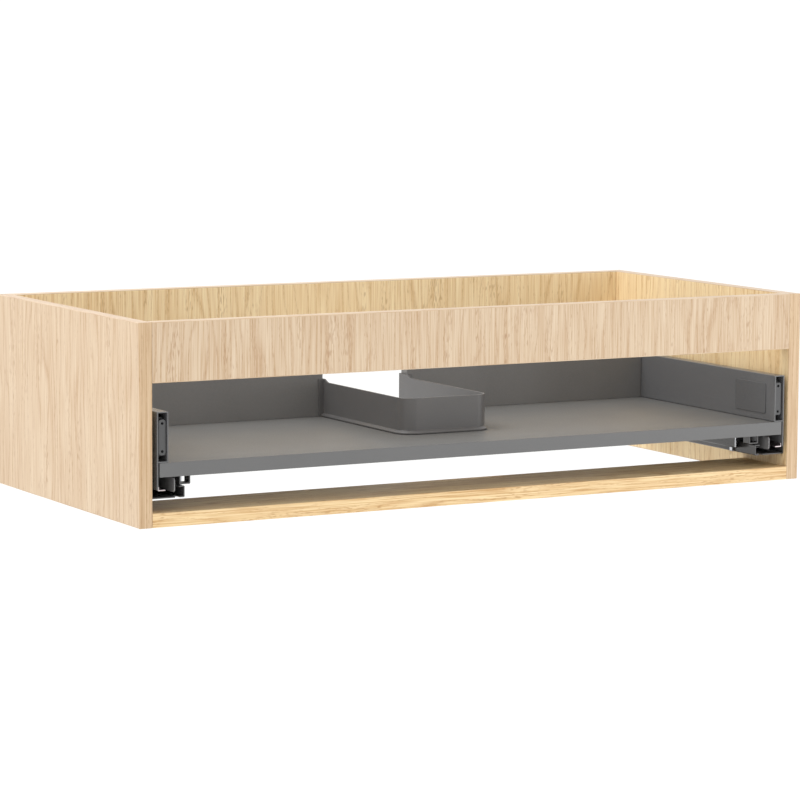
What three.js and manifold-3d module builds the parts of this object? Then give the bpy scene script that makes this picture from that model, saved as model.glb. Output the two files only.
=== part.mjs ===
// A wall-hung washbasin cabinet without its drawer front: an open-topped oak-effect carcass that
// holds a metal-sided drawer on full-extension runners, with a U-shaped surround for the basin trap.
// Millimetres. +X right, +Y back, +Z up. The origin is the middle of the carcass's footprint.
//
// Each side's runner and drawer hardware is drawn once, in a frame of its own: x grows from the side
// panel's inner face towards the middle, y grows from the front edge towards the back, and z is the
// height above the footprint. The right-hand set is its mirror image.

import * as THREE from "three";
import { mergeVertices } from "three/addons/utils/BufferGeometryUtils.js";
import Module from "manifold-3d";

const wasm = await Module();
wasm.setup();

// Carcass
const WIDTH = 1000;
const DEPTH = 457;
const HEIGHT = 257;
const BOARD = 18;
const APRON_OVER_DRAWER = 36;
const BACK_RAIL_HEIGHT = 76;
const BOTTOM_RAIL_DEPTH = 102;

// Gap between a rail's end and the panel, and the beech dowels that join them
const RAIL_END_GAP = 0.2;
const DOWEL_RADIUS = 4;
const DOWEL_GLUE_GAP = 0.15;
const DOWEL_IN_PANEL = 11;
const DOWEL_IN_RAIL = 23;
const DOWEL_END_CLEARANCE = 1;

// Folded steel of the runners and drawer sides
const SHEET = 1.5;
const RUN_CLEARANCE = 0.25;

// How far a cutting solid stands past the face that it cuts, and the facets of small round bars
const CUT_MARGIN = 1;
const SMALL_SIDES = 12;
const FINE_SIDES = 20;

// Runners: the levels are heights above the cabinet rail's underside
const NOMINAL_LENGTH = 350;
const RAIL_BASE = BOARD + 17;
const RAIL_FRONT = 8;
const RAIL_BACK_INSET = 5;
const PANEL_FLANGE_HEIGHT = 25;
const RAIL_LIP_HEIGHT = 14.5;
const RAIL_RETURN = 8;
const RAIL_TAB_FROM_FRONT = 58;
const RAIL_TAB_LENGTH = 6;
const RAIL_TAB_REACH = 3.5;
const RAIL_TAB_HEIGHT = 6;
const LOWER_ROLLER_GAP = 5;
const UPPER_ROLLER_GAP = 5.25;
const ROLLER_PLAY = 0.1;
const MIDDLE_FOOT_LEVEL = 8;
const MIDDLE_FLANGE = 3.5;
const MIDDLE_CORNER = 4;
const LIFT_PLAY = 0.75;
const DRAWER_FOOT_DROP = 0.5;
const FOOT_LIP_GAP = 1;
const MIDDLE_BODY_FRONT = 50;
const MIDDLE_BACK_INSET = 5;
const MIDDLE_LIP_OFFSET = 3;
const RETURN_GAP = 9;
const DROP_GAP = 2.5;
const DRAWER_RAIL_GAP = 5;
const DRAWER_RAIL_BODY_FRONT = 40;
const HOOK_OFFSET = 1.5;
const HOOK_LENGTH = 14;
const HOOK_FRONT = 10;
const HOOK_WALL = 1.75;
const CAGE_LENGTH = 118;
const CAGE_ROLLERS = 6;
const CAGE_PLAY = 0.75;
const ROLLER_INSET = 1;
const LOWER_CAGE_BACK_INSET = 117;
const UPPER_CAGE_BACK_INSET = 86;
const SLOT_RADIUS = 3.25;
const SLOT_OFFSET = 2;
const FRONT_SLOT_FROM_FRONT = 14;
const REAR_SLOT_BACK_INSETS = [225, 145];

// Fixing screws of the cabinet rails, at the panel's system holes
const FRONT_SCREW_FROM_FRONT = 37;
const REAR_SCREW_BACK_INSET = 84;
const SCREW_LEVEL = 16;
const SCREW_RADIUS = 2;
const SCREW_HEAD_RADIUS = 4;
const SCREW_HEAD = 2;
const SCREW_RECESS_RADIUS = 1.6;
const SCREW_LENGTH = 14;
const SCREW_PLAY = 0.15;

// Drawer
const BOTTOM_THICKNESS = 18;
const BACK_THICKNESS = 16;
const SIDE_HEIGHT = 98;
const SIDE_OFF_PANEL = 6.5;
const SIDE_WIDTH = 15.5;
const SIDE_SKIRT = 15.75;
const BOTTOM_EDGE_GAP = 2;
const BOARD_REST_GAP = 0.25;
const BACK_SIDE_GAP = 0.5;

// Strip along the foot of each drawer side
const FOOT_WIDTH = 10.25;
const FOOT_UPSTAND = 5.5;
const FOOT_END_INSET = 2;

// Front fixing bracket inside each drawer side, with the cover cap over its adjusters
const BRACKET_RECESS = 2.5;
const BRACKET_LENGTH = 41;
const BRACKET_BELOW = 7.5;
const BRACKET_ABOVE = 8.5;
const BRACKET_NECK = 9;
const BRACKET_SHOULDER = 2;
const BRACKET_GAP = 1.2;
const BRACKET_CORNER = 3.5;
const BRACKET_HOLE_RADIUS = 1.7;
const BRACKET_HOLE_DEPTH = 20;
const BRACKET_HOLE_INSET = 4.9;
const CAP_LENGTH = 72;
const CAP_FRONT = 21;
const CAP_ABOVE_BRACKET_BASE = 0.5;
const CAP_BELOW_BRACKET_TOP = 2.5;
const CAP_PROUD = 1;
const CAP_CORNER = 3;
const CAP_EDGE = 7;
const CAP_FIT = 0.4;

// Rear bracket that holds the drawer back to each side
const REAR_PLUG_LENGTH = 30;
const REAR_PLATE_WIDTH = 34;
const REAR_PLATE_MARGIN = 6;
const REAR_HOLE_RADIUS = 2;
const REAR_HOLE_END_INSET = 10;
const REAR_HOLE_EDGE_INSET = 9;

// Surround of the trap cut-out
const TRAP_WIDTH = 133;
const TRAP_FRONT = 104;
const TRAP_WALL = 2.5;
const TRAP_CORNER = 20;
const TRAP_WALL_HEIGHT = 48.5;
const TRAP_REAR_HEIGHT = 52.5;
const TRAP_STEP_LENGTH = 2;
const TRAP_STEP_SLOPE = 9;
const TRAP_FLANGE = 4;
const TRAP_FLANGE_THICKNESS = 4.5;
const TRAP_FIT = 0.5;
const CHANNEL_WIDTH = 7.5;
const CHANNEL_WALL = 2;
const CHANNEL_GAP = 0.3;

// Release lever with its spring, under the front of the drawer bottom
const LEVER_OFFSET = 3.5;
const LEVER_SIDE_GAP = 2;
const LEVER_PIVOT_FROM_FRONT = 43.5;
const LEVER_PIVOT_DROP = 3.5;
const LEVER_BLOCK_HALF = 3;
const LEVER_PAD_FRONT = 28;
const LEVER_PAD_WIDTH = 6;
const LEVER_PAD_GAP = 0.75;
const LEVER_PAD_THICKNESS = 2;
const TRUNNION_RADIUS = 1.5;
const TRUNNION_FIT = 0.2;
const RELEASE_SPRING_RADIUS = 2.5;
const RELEASE_SPRING_FROM_FRONT = 32;

// Soft closer on each cabinet rail
const CLOSER_SIDE_GAP = 1.25;
const CLOSER_WALL = 1.25;
const CLOSER_LENGTH = 134;
const CLOSER_BACK_INSET = 8;
const CATCH_FROM_TRAY_FRONT = 48;
const CATCH_LENGTH = 12;
const CATCH_LIP = 3;
const CATCH_LIP_HEIGHT = 2.25;
const STRIKER_CLEARANCE = 0.5;
const STRIKER_GAP = 2.5;
const WING_MARGIN = 10;
const DAMPER_RADIUS = 2.5;
const DAMPER_SIDE_GAP = 0.5;
const DAMPER_FLOOR_GAP = 2.25;
const DAMPER_LENGTH = 48;
const DAMPER_END_GAP = 1;
const ROD_RADIUS = 0.9;
const ROD_FIT = 0.25;
const ROD_END_GAP = 4;
const DAMPER_END_WALL = 2;
const CLOSER_SPRING_RADIUS = 1.5;
const CLOSER_SPRING_GAP = 1;

// Places across the side frame, from the panel to the middle
const FOOT_IN = SIDE_OFF_PANEL + SHEET + RUN_CLEARANCE;
const CLOSER_IN = FOOT_IN + FOOT_WIDTH + CLOSER_SIDE_GAP;
const CLOSER_WIDTH = 2 * (DAMPER_RADIUS + DAMPER_SIDE_GAP + CLOSER_WALL);
const MIDDLE_WEB_IN = CLOSER_IN + CLOSER_WIDTH + CLOSER_SIDE_GAP;
const RETURN_IN = MIDDLE_WEB_IN + SHEET + RETURN_GAP;
const RAIL_LIP_OUT = RETURN_IN + RAIL_RETURN;
const MIDDLE_DROP_IN = RAIL_LIP_OUT + DROP_GAP;
const DRAWER_WALL_IN = MIDDLE_DROP_IN + SHEET + DRAWER_RAIL_GAP;
const DRAWER_WALL_OUT = DRAWER_WALL_IN + SHEET;
const HOOK_IN = RETURN_IN + HOOK_OFFSET;
const LEVER_IN = HOOK_IN + LEVER_OFFSET;
const INNER_WALL_IN = SIDE_OFF_PANEL + SIDE_WIDTH;

// Levels above the footprint, and places behind the front edge
const RETURN_TOP = RAIL_BASE + RAIL_LIP_HEIGHT;
const ROOF_BASE = RETURN_TOP + LOWER_ROLLER_GAP;
const ROOF_TOP = ROOF_BASE + SHEET;
const PLATE_BASE = ROOF_TOP + UPPER_ROLLER_GAP;
const FLOOR_BASE = PLATE_BASE + SHEET;
const FLOOR_TOP = FLOOR_BASE + BOTTOM_THICKNESS;
const SHELF_BASE = FLOOR_TOP + BOARD_REST_GAP;
const SIDE_BASE = FLOOR_BASE - SIDE_SKIRT;
const SIDE_TOP = SIDE_BASE + SIDE_HEIGHT;
const RAIL_BACK = NOMINAL_LENGTH - RAIL_BACK_INSET;
const SCREW_FROM_FRONT = [FRONT_SCREW_FROM_FRONT, RAIL_BACK - REAR_SCREW_BACK_INSET];
const SCREW_HOLE_RADIUS = SCREW_RADIUS + SCREW_PLAY;
const MIDDLE_TOP = PLATE_BASE - 2 * RUN_CLEARANCE;
const PIVOT_LEVEL = PLATE_BASE - LEVER_PIVOT_DROP;
const PAD_BASE = RETURN_TOP + LEVER_PAD_GAP;
const BACK_FACE = NOMINAL_LENGTH - BACK_THICKNESS;
const APRON_BASE = SIDE_TOP + APRON_OVER_DRAWER;

const FINISHES = {
  oak: { color: 0xd9bd94, roughness: 0.6, metalness: 0 },
  beech: { color: 0xd8b98a, roughness: 0.7, metalness: 0 },
  grey_board: { color: 0x757370, roughness: 0.65, metalness: 0 },
  grey_steel: { color: 0x55565a, roughness: 0.5, metalness: 0.2 },
  runner_steel: { color: 0x7c7d80, roughness: 0.4, metalness: 0.9 },
  zinc: { color: 0xc9ccd0, roughness: 0.3, metalness: 1 },
  grey_plastic: { color: 0x57585a, roughness: 0.5, metalness: 0 },
  black_plastic: { color: 0x1c1d1f, roughness: 0.5, metalness: 0 },
  bright_steel: { color: 0xd5d7da, roughness: 0.2, metalness: 1 },
};

const root = new THREE.Group();

// A closed geometry as a solid that can be joined and cut.
function solidOf(geometry) {
  const bare = geometry.clone();
  bare.deleteAttribute("normal");
  bare.deleteAttribute("uv");
  const merged = mergeVertices(bare, 1e-4);
  const mesh = new wasm.Mesh({
    numProp: 3,
    vertProperties: merged.attributes.position.array,
    triVerts: new Uint32Array(merged.index.array),
  });
  return new wasm.Manifold(mesh);
}

// A solid as a geometry for a mesh.
function geometryOf(solid) {
  const made = solid.getMesh();
  const geometry = new THREE.BufferGeometry();
  geometry.setAttribute("position", new THREE.BufferAttribute(new Float32Array(made.vertProperties), 3));
  geometry.setIndex(new THREE.BufferAttribute(new Uint32Array(made.triVerts), 1));
  geometry.computeVertexNormals();
  return geometry;
}

function joined(solids) {
  return solids.reduce((whole, piece) => whole.add(piece));
}

function block([x0, x1], [y0, y1], [z0, z1]) {
  const geometry = new THREE.BoxGeometry(x1 - x0, y1 - y0, z1 - z0);
  geometry.translate((x0 + x1) / 2, (y0 + y1) / 2, (z0 + z1) / 2);
  return solidOf(geometry);
}

// Rectangles of one cross-section, each [[x0, x1], [z0, z1]], carried along y and joined.
function strip(span, rectangles) {
  return joined(rectangles.map(([across, up]) => block(across, span, up)));
}

const TURN_TO_AXIS = {
  x: (geometry) => geometry.rotateZ(-Math.PI / 2),
  y: (geometry) => geometry,
  z: (geometry) => geometry.rotateX(Math.PI / 2),
};

// A round bar along an axis, from one end to the other, with its centre line at the other two places.
function bar(axis, [from, to], radius, [first, second], sides = 16) {
  const geometry = TURN_TO_AXIS[axis](new THREE.CylinderGeometry(radius, radius, to - from, sides));
  const middle = (from + to) / 2;
  const centre = {
    x: [middle, first, second],
    y: [first, middle, second],
    z: [first, second, middle],
  }[axis];
  geometry.translate(...centre);
  return solidOf(geometry);
}

function extruded(outline, [from, to]) {
  return new THREE.ExtrudeGeometry(outline, { depth: to - from, bevelEnabled: false, curveSegments: 8 });
}

// A flat outline carried along z from one height to another.
function plateAlongZ(outline, [z0, z1]) {
  const geometry = extruded(outline, [z0, z1]);
  geometry.translate(0, 0, z0);
  return solidOf(geometry);
}

// An outline in (x, z) carried along y.
function plateAlongY(outline, [y0, y1]) {
  const geometry = extruded(outline, [y0, y1]);
  geometry.rotateX(Math.PI / 2);
  geometry.translate(0, y1, 0);
  return solidOf(geometry);
}

// An outline in (y, z) carried along x.
function plateAlongX(outline, [x0, x1]) {
  const geometry = extruded(outline, [x0, x1]);
  geometry.rotateX(Math.PI / 2);
  geometry.rotateZ(Math.PI / 2);
  geometry.translate(x0, 0, 0);
  return solidOf(geometry);
}

function roundedRectangle([a0, a1], [b0, b1], radius) {
  const outline = new THREE.Shape();
  outline.moveTo(a0 + radius, b0);
  outline.lineTo(a1 - radius, b0);
  outline.absarc(a1 - radius, b0 + radius, radius, -Math.PI / 2, 0);
  outline.lineTo(a1, b1 - radius);
  outline.absarc(a1 - radius, b1 - radius, radius, 0, Math.PI / 2);
  outline.lineTo(a0 + radius, b1);
  outline.absarc(a0 + radius, b1 - radius, radius, Math.PI / 2, Math.PI);
  outline.lineTo(a0, b0 + radius);
  outline.absarc(a0 + radius, b0 + radius, radius, Math.PI, 1.5 * Math.PI);
  return outline;
}

function polygon(points) {
  return new THREE.Shape(points.map(([a, b]) => new THREE.Vector2(a, b)));
}

function addPart(group, name, solid, finish) {
  const mesh = new THREE.Mesh(geometryOf(solid), new THREE.MeshStandardMaterial(FINISHES[finish]));
  mesh.name = name;
  group.add(mesh);
}

// ---- Carcass, in the row's own frame ----

const LEFT_FACE = -WIDTH / 2;
const FRONT_FACE = -DEPTH / 2;
const BACK_PLANE = DEPTH / 2;

// Centre lines of the dowels of each joint, as [y, z], the same at both ends of a rail.
const DOWEL_LINES = {
  apron: quarterPoints([APRON_BASE, HEIGHT]).map((z) => [FRONT_FACE + BOARD / 2, z]),
  back_rail: quarterPoints([HEIGHT - BACK_RAIL_HEIGHT, HEIGHT]).map((z) => [BACK_PLANE - BOARD / 2, z]),
  bottom_rail: quarterPoints([FRONT_FACE, FRONT_FACE + BOTTOM_RAIL_DEPTH]).map((y) => [y, BOARD / 2]),
};

function quarterPoints([from, to]) {
  const quarter = (to - from) / 4;
  return [to - quarter, from + quarter];
}

// The bored holes of one joint, which run through the panel's inner face into the rail's end.
function dowelHoles(lines, side) {
  const face = side * (WIDTH / 2 - BOARD);
  const ends = [
    face + side * (DOWEL_IN_PANEL + DOWEL_END_CLEARANCE),
    face - side * (DOWEL_IN_RAIL + DOWEL_END_CLEARANCE),
  ].sort((a, b) => a - b);
  return lines.map((line) => bar("x", ends, DOWEL_RADIUS + DOWEL_GLUE_GAP, line, SMALL_SIDES));
}

function sidePanel(side) {
  const outer = side * (WIDTH / 2);
  const inner = side * (WIDTH / 2 - BOARD);
  const across = [Math.min(outer, inner), Math.max(outer, inner)];
  const dowels = Object.values(DOWEL_LINES).flatMap((lines) => dowelHoles(lines, side));
  const pilotDepth = SCREW_LENGTH - SHEET + DOWEL_END_CLEARANCE;
  const pilotEnds = [inner - side * CUT_MARGIN, inner + side * pilotDepth].sort((a, b) => a - b);
  const pilots = SCREW_FROM_FRONT.map((y) =>
    bar("x", pilotEnds, SCREW_HOLE_RADIUS, [FRONT_FACE + y, RAIL_BASE + SCREW_LEVEL], SMALL_SIDES),
  );
  const board = block(across, [FRONT_FACE, BACK_PLANE], [0, HEIGHT]);
  return board.subtract(joined([...dowels, ...pilots]));
}

const BETWEEN_PANELS = [LEFT_FACE + BOARD + RAIL_END_GAP, -LEFT_FACE - BOARD - RAIL_END_GAP];

function carcassRail(lines, along, up) {
  const holes = [-1, 1].flatMap((side) => dowelHoles(lines, side));
  return block(BETWEEN_PANELS, along, up).subtract(joined(holes));
}

const CARCASS_RAILS = {
  apron: [[FRONT_FACE, FRONT_FACE + BOARD], [APRON_BASE, HEIGHT]],
  back_rail: [[BACK_PLANE - BOARD, BACK_PLANE], [HEIGHT - BACK_RAIL_HEIGHT, HEIGHT]],
  bottom_rail: [[FRONT_FACE, FRONT_FACE + BOTTOM_RAIL_DEPTH], [0, BOARD]],
};

function addCarcass() {
  addPart(root, "side_panel_left", sidePanel(-1), "oak");
  addPart(root, "side_panel_right", sidePanel(1), "oak");
  for (const [name, [along, up]] of Object.entries(CARCASS_RAILS)) {
    addPart(root, name, carcassRail(DOWEL_LINES[name], along, up), "oak");
  }
}

function addDowels(group, sideName) {
  for (const [joint, lines] of Object.entries(DOWEL_LINES)) {
    lines.forEach(([y, z], index) => {
      const line = [y - FRONT_FACE, z];
      const dowel = bar("x", [-DOWEL_IN_PANEL, DOWEL_IN_RAIL], DOWEL_RADIUS, line, SMALL_SIDES);
      addPart(group, `dowel_${joint}_${index + 1}_${sideName}`, dowel, "beech");
    });
  }
}

// ---- Runner, in the side frame ----

const RAIL_SPAN = [RAIL_FRONT, RAIL_BACK];
const SLOT_FROM_FRONT = [FRONT_SLOT_FROM_FRONT, ...REAR_SLOT_BACK_INSETS.map((inset) => RAIL_BACK - inset)];

function cabinetRail() {
  const section = [
    [[RUN_CLEARANCE, RUN_CLEARANCE + SHEET], [RAIL_BASE, RAIL_BASE + PANEL_FLANGE_HEIGHT]],
    [[RUN_CLEARANCE, RAIL_LIP_OUT], [RAIL_BASE, RAIL_BASE + SHEET]],
    [[RAIL_LIP_OUT - SHEET, RAIL_LIP_OUT], [RAIL_BASE, RETURN_TOP]],
    [[RETURN_IN, RAIL_LIP_OUT], [RETURN_TOP - SHEET, RETURN_TOP]],
  ];
  const tabOut = RAIL_LIP_OUT + RAIL_TAB_REACH;
  const tab = strip([RAIL_TAB_FROM_FRONT, RAIL_TAB_FROM_FRONT + RAIL_TAB_LENGTH], [
    [[RAIL_LIP_OUT - SHEET, tabOut], [RAIL_BASE, RAIL_BASE + SHEET]],
    [[tabOut - SHEET, tabOut], [RAIL_BASE, RAIL_BASE + RAIL_TAB_HEIGHT]],
  ]);
  const headSeat = RUN_CLEARANCE + SHEET;
  const screwHoles = SCREW_FROM_FRONT.map((y) =>
    bar("x", [0, headSeat + CUT_MARGIN], SCREW_HOLE_RADIUS, [y, RAIL_BASE + SCREW_LEVEL], SMALL_SIDES),
  );
  const through = [RAIL_BASE - CUT_MARGIN, RAIL_BASE + SHEET + CUT_MARGIN];
  const slots = SLOT_FROM_FRONT.map((y) =>
    bar("z", through, SLOT_RADIUS, [RETURN_IN - SLOT_OFFSET, y], SMALL_SIDES),
  );
  return joined([strip(RAIL_SPAN, section), tab]).subtract(joined([...screwHoles, ...slots]));
}

function railScrew(y) {
  const line = [y, RAIL_BASE + SCREW_LEVEL];
  const headSeat = RUN_CLEARANCE + SHEET;
  const middle = headSeat + SCREW_HEAD / 2;
  const top = headSeat + SCREW_HEAD;
  const shank = bar("x", [headSeat - SCREW_LENGTH, middle], SCREW_RADIUS, line, SMALL_SIDES);
  const head = bar("x", [headSeat, top], SCREW_HEAD_RADIUS, line);
  const recess = bar("x", [middle, top + CUT_MARGIN], SCREW_RECESS_RADIUS, line, 4);
  return joined([shank, head]).subtract(recess);
}

// The web with its two short flanges runs the whole length. Behind its front stretch a roof and a
// drop wrap round the cabinet rail's return, and a foot with a lip passes under it.
function middleRail() {
  const footBase = RAIL_BASE + MIDDLE_FOOT_LEVEL;
  const webOut = MIDDLE_WEB_IN + SHEET;
  const lipIn = RETURN_IN + MIDDLE_LIP_OFFSET;
  const back = RAIL_BACK - MIDDLE_BACK_INSET;
  const web = plateAlongX(
    roundedRectangle([0, back], [footBase, MIDDLE_TOP], MIDDLE_CORNER),
    [MIDDLE_WEB_IN, webOut],
  );
  const flanges = [
    [[MIDDLE_WEB_IN, webOut + MIDDLE_FLANGE], [MIDDLE_TOP - SHEET, MIDDLE_TOP]],
    [[MIDDLE_WEB_IN, webOut + MIDDLE_FLANGE], [footBase, footBase + SHEET]],
  ];
  const wrap = [
    [[MIDDLE_WEB_IN, MIDDLE_DROP_IN + SHEET], [ROOF_BASE, ROOF_TOP]],
    [[MIDDLE_DROP_IN, MIDDLE_DROP_IN + SHEET], [footBase - DRAWER_FOOT_DROP + SHEET + LIFT_PLAY, ROOF_TOP]],
    [[MIDDLE_WEB_IN, lipIn + SHEET], [footBase, footBase + SHEET]],
    [[lipIn, lipIn + SHEET], [footBase, RETURN_TOP - SHEET - LIFT_PLAY]],
  ];
  const flangeSpan = [MIDDLE_CORNER, back - MIDDLE_CORNER];
  return joined([web, strip(flangeSpan, flanges), strip([MIDDLE_BODY_FRONT, flangeSpan[1]], wrap)]);
}

// A plastic strip that keeps a row of steel rollers apart in the gap between two rails.
function rollerCage(across, [low, high], back) {
  const radius = (high - low) / 2 - ROLLER_PLAY;
  const middle = (low + high) / 2;
  const front = back - CAGE_LENGTH;
  const body = block(across, [front, back], [low + CAGE_PLAY, high - CAGE_PLAY]);
  const pitch = CAGE_LENGTH / CAGE_ROLLERS;
  const ends = [across[0] + ROLLER_INSET, across[1] - ROLLER_INSET];
  const rollers = Array.from({ length: CAGE_ROLLERS }, (_, index) =>
    bar("x", ends, radius, [front + pitch * (index + 0.5), middle], SMALL_SIDES),
  );
  return joined([body, ...rollers]);
}

function lowerCage() {
  const across = [RETURN_IN + RUN_CLEARANCE, RAIL_LIP_OUT - RUN_CLEARANCE];
  return rollerCage(across, [RETURN_TOP, ROOF_BASE], RAIL_BACK - LOWER_CAGE_BACK_INSET);
}

function upperCage() {
  const across = [HOOK_IN + 2 * RUN_CLEARANCE, MIDDLE_DROP_IN - RUN_CLEARANCE];
  return rollerCage(across, [ROOF_TOP, PLATE_BASE], RAIL_BACK - UPPER_CAGE_BACK_INSET);
}

const EAR_SPAN = [LEVER_PIVOT_FROM_FRONT - LEVER_BLOCK_HALF, LEVER_PIVOT_FROM_FRONT + LEVER_BLOCK_HALF];
const EAR_IN = LEVER_IN - RUN_CLEARANCE - SHEET;
const PIVOT_LINE = [LEVER_PIVOT_FROM_FRONT, PIVOT_LEVEL];
const CLOSER_BACK = RAIL_BACK - CLOSER_BACK_INSET;
const CLOSER_FRONT = CLOSER_BACK - CLOSER_LENGTH;
const DAMPER_LEVEL = CLOSER_WALL + DAMPER_FLOOR_GAP + DAMPER_RADIUS;
const CLOSER_SPRING_LEVEL = DAMPER_LEVEL + DAMPER_RADIUS + CLOSER_SPRING_GAP + CLOSER_SPRING_RADIUS;
const CLOSER_HEIGHT = CLOSER_SPRING_LEVEL + CLOSER_SPRING_RADIUS + CLOSER_SPRING_GAP;
const CATCH_FROM_FRONT = CLOSER_FRONT + CATCH_FROM_TRAY_FRONT;
const STRIKER_FROM_FRONT = CATCH_FROM_FRONT + CATCH_LIP + STRIKER_GAP;
const LIP_TOP = RAIL_BASE + SHEET + CLOSER_HEIGHT + CATCH_LIP_HEIGHT;

// A plate under the drawer bottom. At its front it is folded round into a hook, and further back one
// wall hangs from it and turns in under the middle rail. An ear holds the release lever, and a wing
// reaches over the middle rail with the tab that works the soft closer.
function drawerRail() {
  const hookOut = DRAWER_WALL_IN - RUN_CLEARANCE;
  const hookBase = RETURN_TOP + SHEET;
  const footBase = RAIL_BASE + MIDDLE_FOOT_LEVEL - DRAWER_FOOT_DROP;
  const plate = strip([HOOK_FRONT, RAIL_BACK], [[[HOOK_IN, DRAWER_WALL_OUT], [PLATE_BASE, FLOOR_BASE]]]);
  const hook = strip([HOOK_FRONT, HOOK_FRONT + HOOK_LENGTH], [
    [[HOOK_IN, HOOK_IN + HOOK_WALL], [hookBase, PLATE_BASE]],
    [[hookOut - HOOK_WALL, hookOut], [hookBase, PLATE_BASE]],
    [[HOOK_IN, hookOut], [hookBase, hookBase + HOOK_WALL]],
  ]);
  const wall = strip([DRAWER_RAIL_BODY_FRONT, RAIL_BACK], [
    [[DRAWER_WALL_IN, DRAWER_WALL_OUT], [footBase, PLATE_BASE]],
    [[RAIL_LIP_OUT + FOOT_LIP_GAP, DRAWER_WALL_OUT], [footBase, footBase + SHEET]],
  ]);
  const ear = strip(EAR_SPAN, [
    [[EAR_IN, EAR_IN + SHEET], [PIVOT_LEVEL - LEVER_BLOCK_HALF, PLATE_BASE]],
  ]);
  const wing = strip([STRIKER_FROM_FRONT - WING_MARGIN, STRIKER_FROM_FRONT + SHEET + WING_MARGIN], [
    [[CLOSER_IN, HOOK_IN + SHEET], [PLATE_BASE, FLOOR_BASE]],
  ]);
  const tab = block(
    [CLOSER_IN + CLOSER_WALL, CLOSER_IN + CLOSER_WIDTH - CLOSER_WALL],
    [STRIKER_FROM_FRONT, STRIKER_FROM_FRONT + SHEET],
    [LIP_TOP + STRIKER_CLEARANCE, PLATE_BASE],
  );
  const through = [EAR_IN - CUT_MARGIN, DRAWER_WALL_OUT + CUT_MARGIN];
  const trunnionHole = bar("x", through, TRUNNION_RADIUS + TRUNNION_FIT, PIVOT_LINE);
  return joined([plate, hook, wall, ear, wing, tab]).subtract(trunnionHole);
}

// A block on two trunnions, with a pad that reaches forward under the spring.
function releaseLever() {
  const body = plateAlongX(
    roundedRectangle(EAR_SPAN, [PAD_BASE, PIVOT_LEVEL + LEVER_BLOCK_HALF], TRUNNION_RADIUS),
    [LEVER_IN, DRAWER_WALL_IN - LEVER_SIDE_GAP],
  );
  const pad = block(
    [LEVER_IN, LEVER_IN + LEVER_PAD_WIDTH],
    [LEVER_PAD_FRONT, LEVER_PIVOT_FROM_FRONT],
    [PAD_BASE, PAD_BASE + LEVER_PAD_THICKNESS],
  );
  const trunnions = bar("x", [EAR_IN, DRAWER_WALL_OUT], TRUNNION_RADIUS, PIVOT_LINE);
  return joined([body, pad, trunnions]);
}

function releaseSpring() {
  const seat = PAD_BASE + LEVER_PAD_THICKNESS;
  const centre = [LEVER_IN + LEVER_PAD_WIDTH / 2, RELEASE_SPRING_FROM_FRONT];
  const ends = [seat + RUN_CLEARANCE, PLATE_BASE - RUN_CLEARANCE];
  return bar("z", ends, RELEASE_SPRING_RADIUS, centre, SMALL_SIDES);
}

// ---- Soft closer, in the side frame ----

const CLOSER_BASE = RAIL_BASE + SHEET;
const CLOSER_TOP = CLOSER_BASE + CLOSER_HEIGHT;
const CLOSER_ACROSS = [CLOSER_IN, CLOSER_IN + CLOSER_WIDTH];
const CLOSER_MIDDLE = CLOSER_IN + CLOSER_WIDTH / 2;
const DAMPER_BACK = CLOSER_BACK - CLOSER_WALL - DAMPER_END_GAP;
const DAMPER_FRONT = DAMPER_BACK - DAMPER_LENGTH;
const CATCH_BACK = CATCH_FROM_FRONT + CATCH_LENGTH;

function closerTray() {
  const outside = block(CLOSER_ACROSS, [CLOSER_FRONT, CLOSER_BACK], [CLOSER_BASE, CLOSER_TOP]);
  const inside = block(
    [CLOSER_ACROSS[0] + CLOSER_WALL, CLOSER_ACROSS[1] - CLOSER_WALL],
    [CLOSER_FRONT + CLOSER_WALL, CLOSER_BACK - CLOSER_WALL],
    [CLOSER_BASE + CLOSER_WALL, CLOSER_TOP + CUT_MARGIN],
  );
  return outside.subtract(inside);
}

function closerCatch() {
  const gap = CLOSER_WALL + RUN_CLEARANCE;
  const across = [CLOSER_ACROSS[0] + gap, CLOSER_ACROSS[1] - gap];
  const body = block(across, [CATCH_FROM_FRONT, CATCH_BACK], [CLOSER_BASE + gap, CLOSER_TOP]);
  const lip = block(across, [CATCH_FROM_FRONT, CATCH_FROM_FRONT + CATCH_LIP], [CLOSER_TOP, LIP_TOP]);
  return joined([body, lip]);
}

function damperCylinder() {
  const line = [CLOSER_MIDDLE, CLOSER_BASE + DAMPER_LEVEL];
  const boreEnds = [DAMPER_FRONT - CUT_MARGIN, DAMPER_BACK - DAMPER_END_WALL];
  const bore = bar("y", boreEnds, ROD_RADIUS + ROD_FIT, line, SMALL_SIDES);
  return bar("y", [DAMPER_FRONT, DAMPER_BACK], DAMPER_RADIUS, line, FINE_SIDES).subtract(bore);
}

function damperRod() {
  const line = [CLOSER_MIDDLE, CLOSER_BASE + DAMPER_LEVEL];
  return bar("y", [CATCH_BACK, DAMPER_BACK - ROD_END_GAP], ROD_RADIUS, line, SMALL_SIDES);
}

function closerSpring() {
  const line = [CLOSER_MIDDLE, CLOSER_BASE + CLOSER_SPRING_LEVEL];
  const span = [CATCH_BACK + RUN_CLEARANCE, CLOSER_BACK - CLOSER_WALL - RUN_CLEARANCE];
  return bar("y", span, CLOSER_SPRING_RADIUS, line, SMALL_SIDES);
}

// ---- Drawer side and its fittings, in the side frame ----

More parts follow.
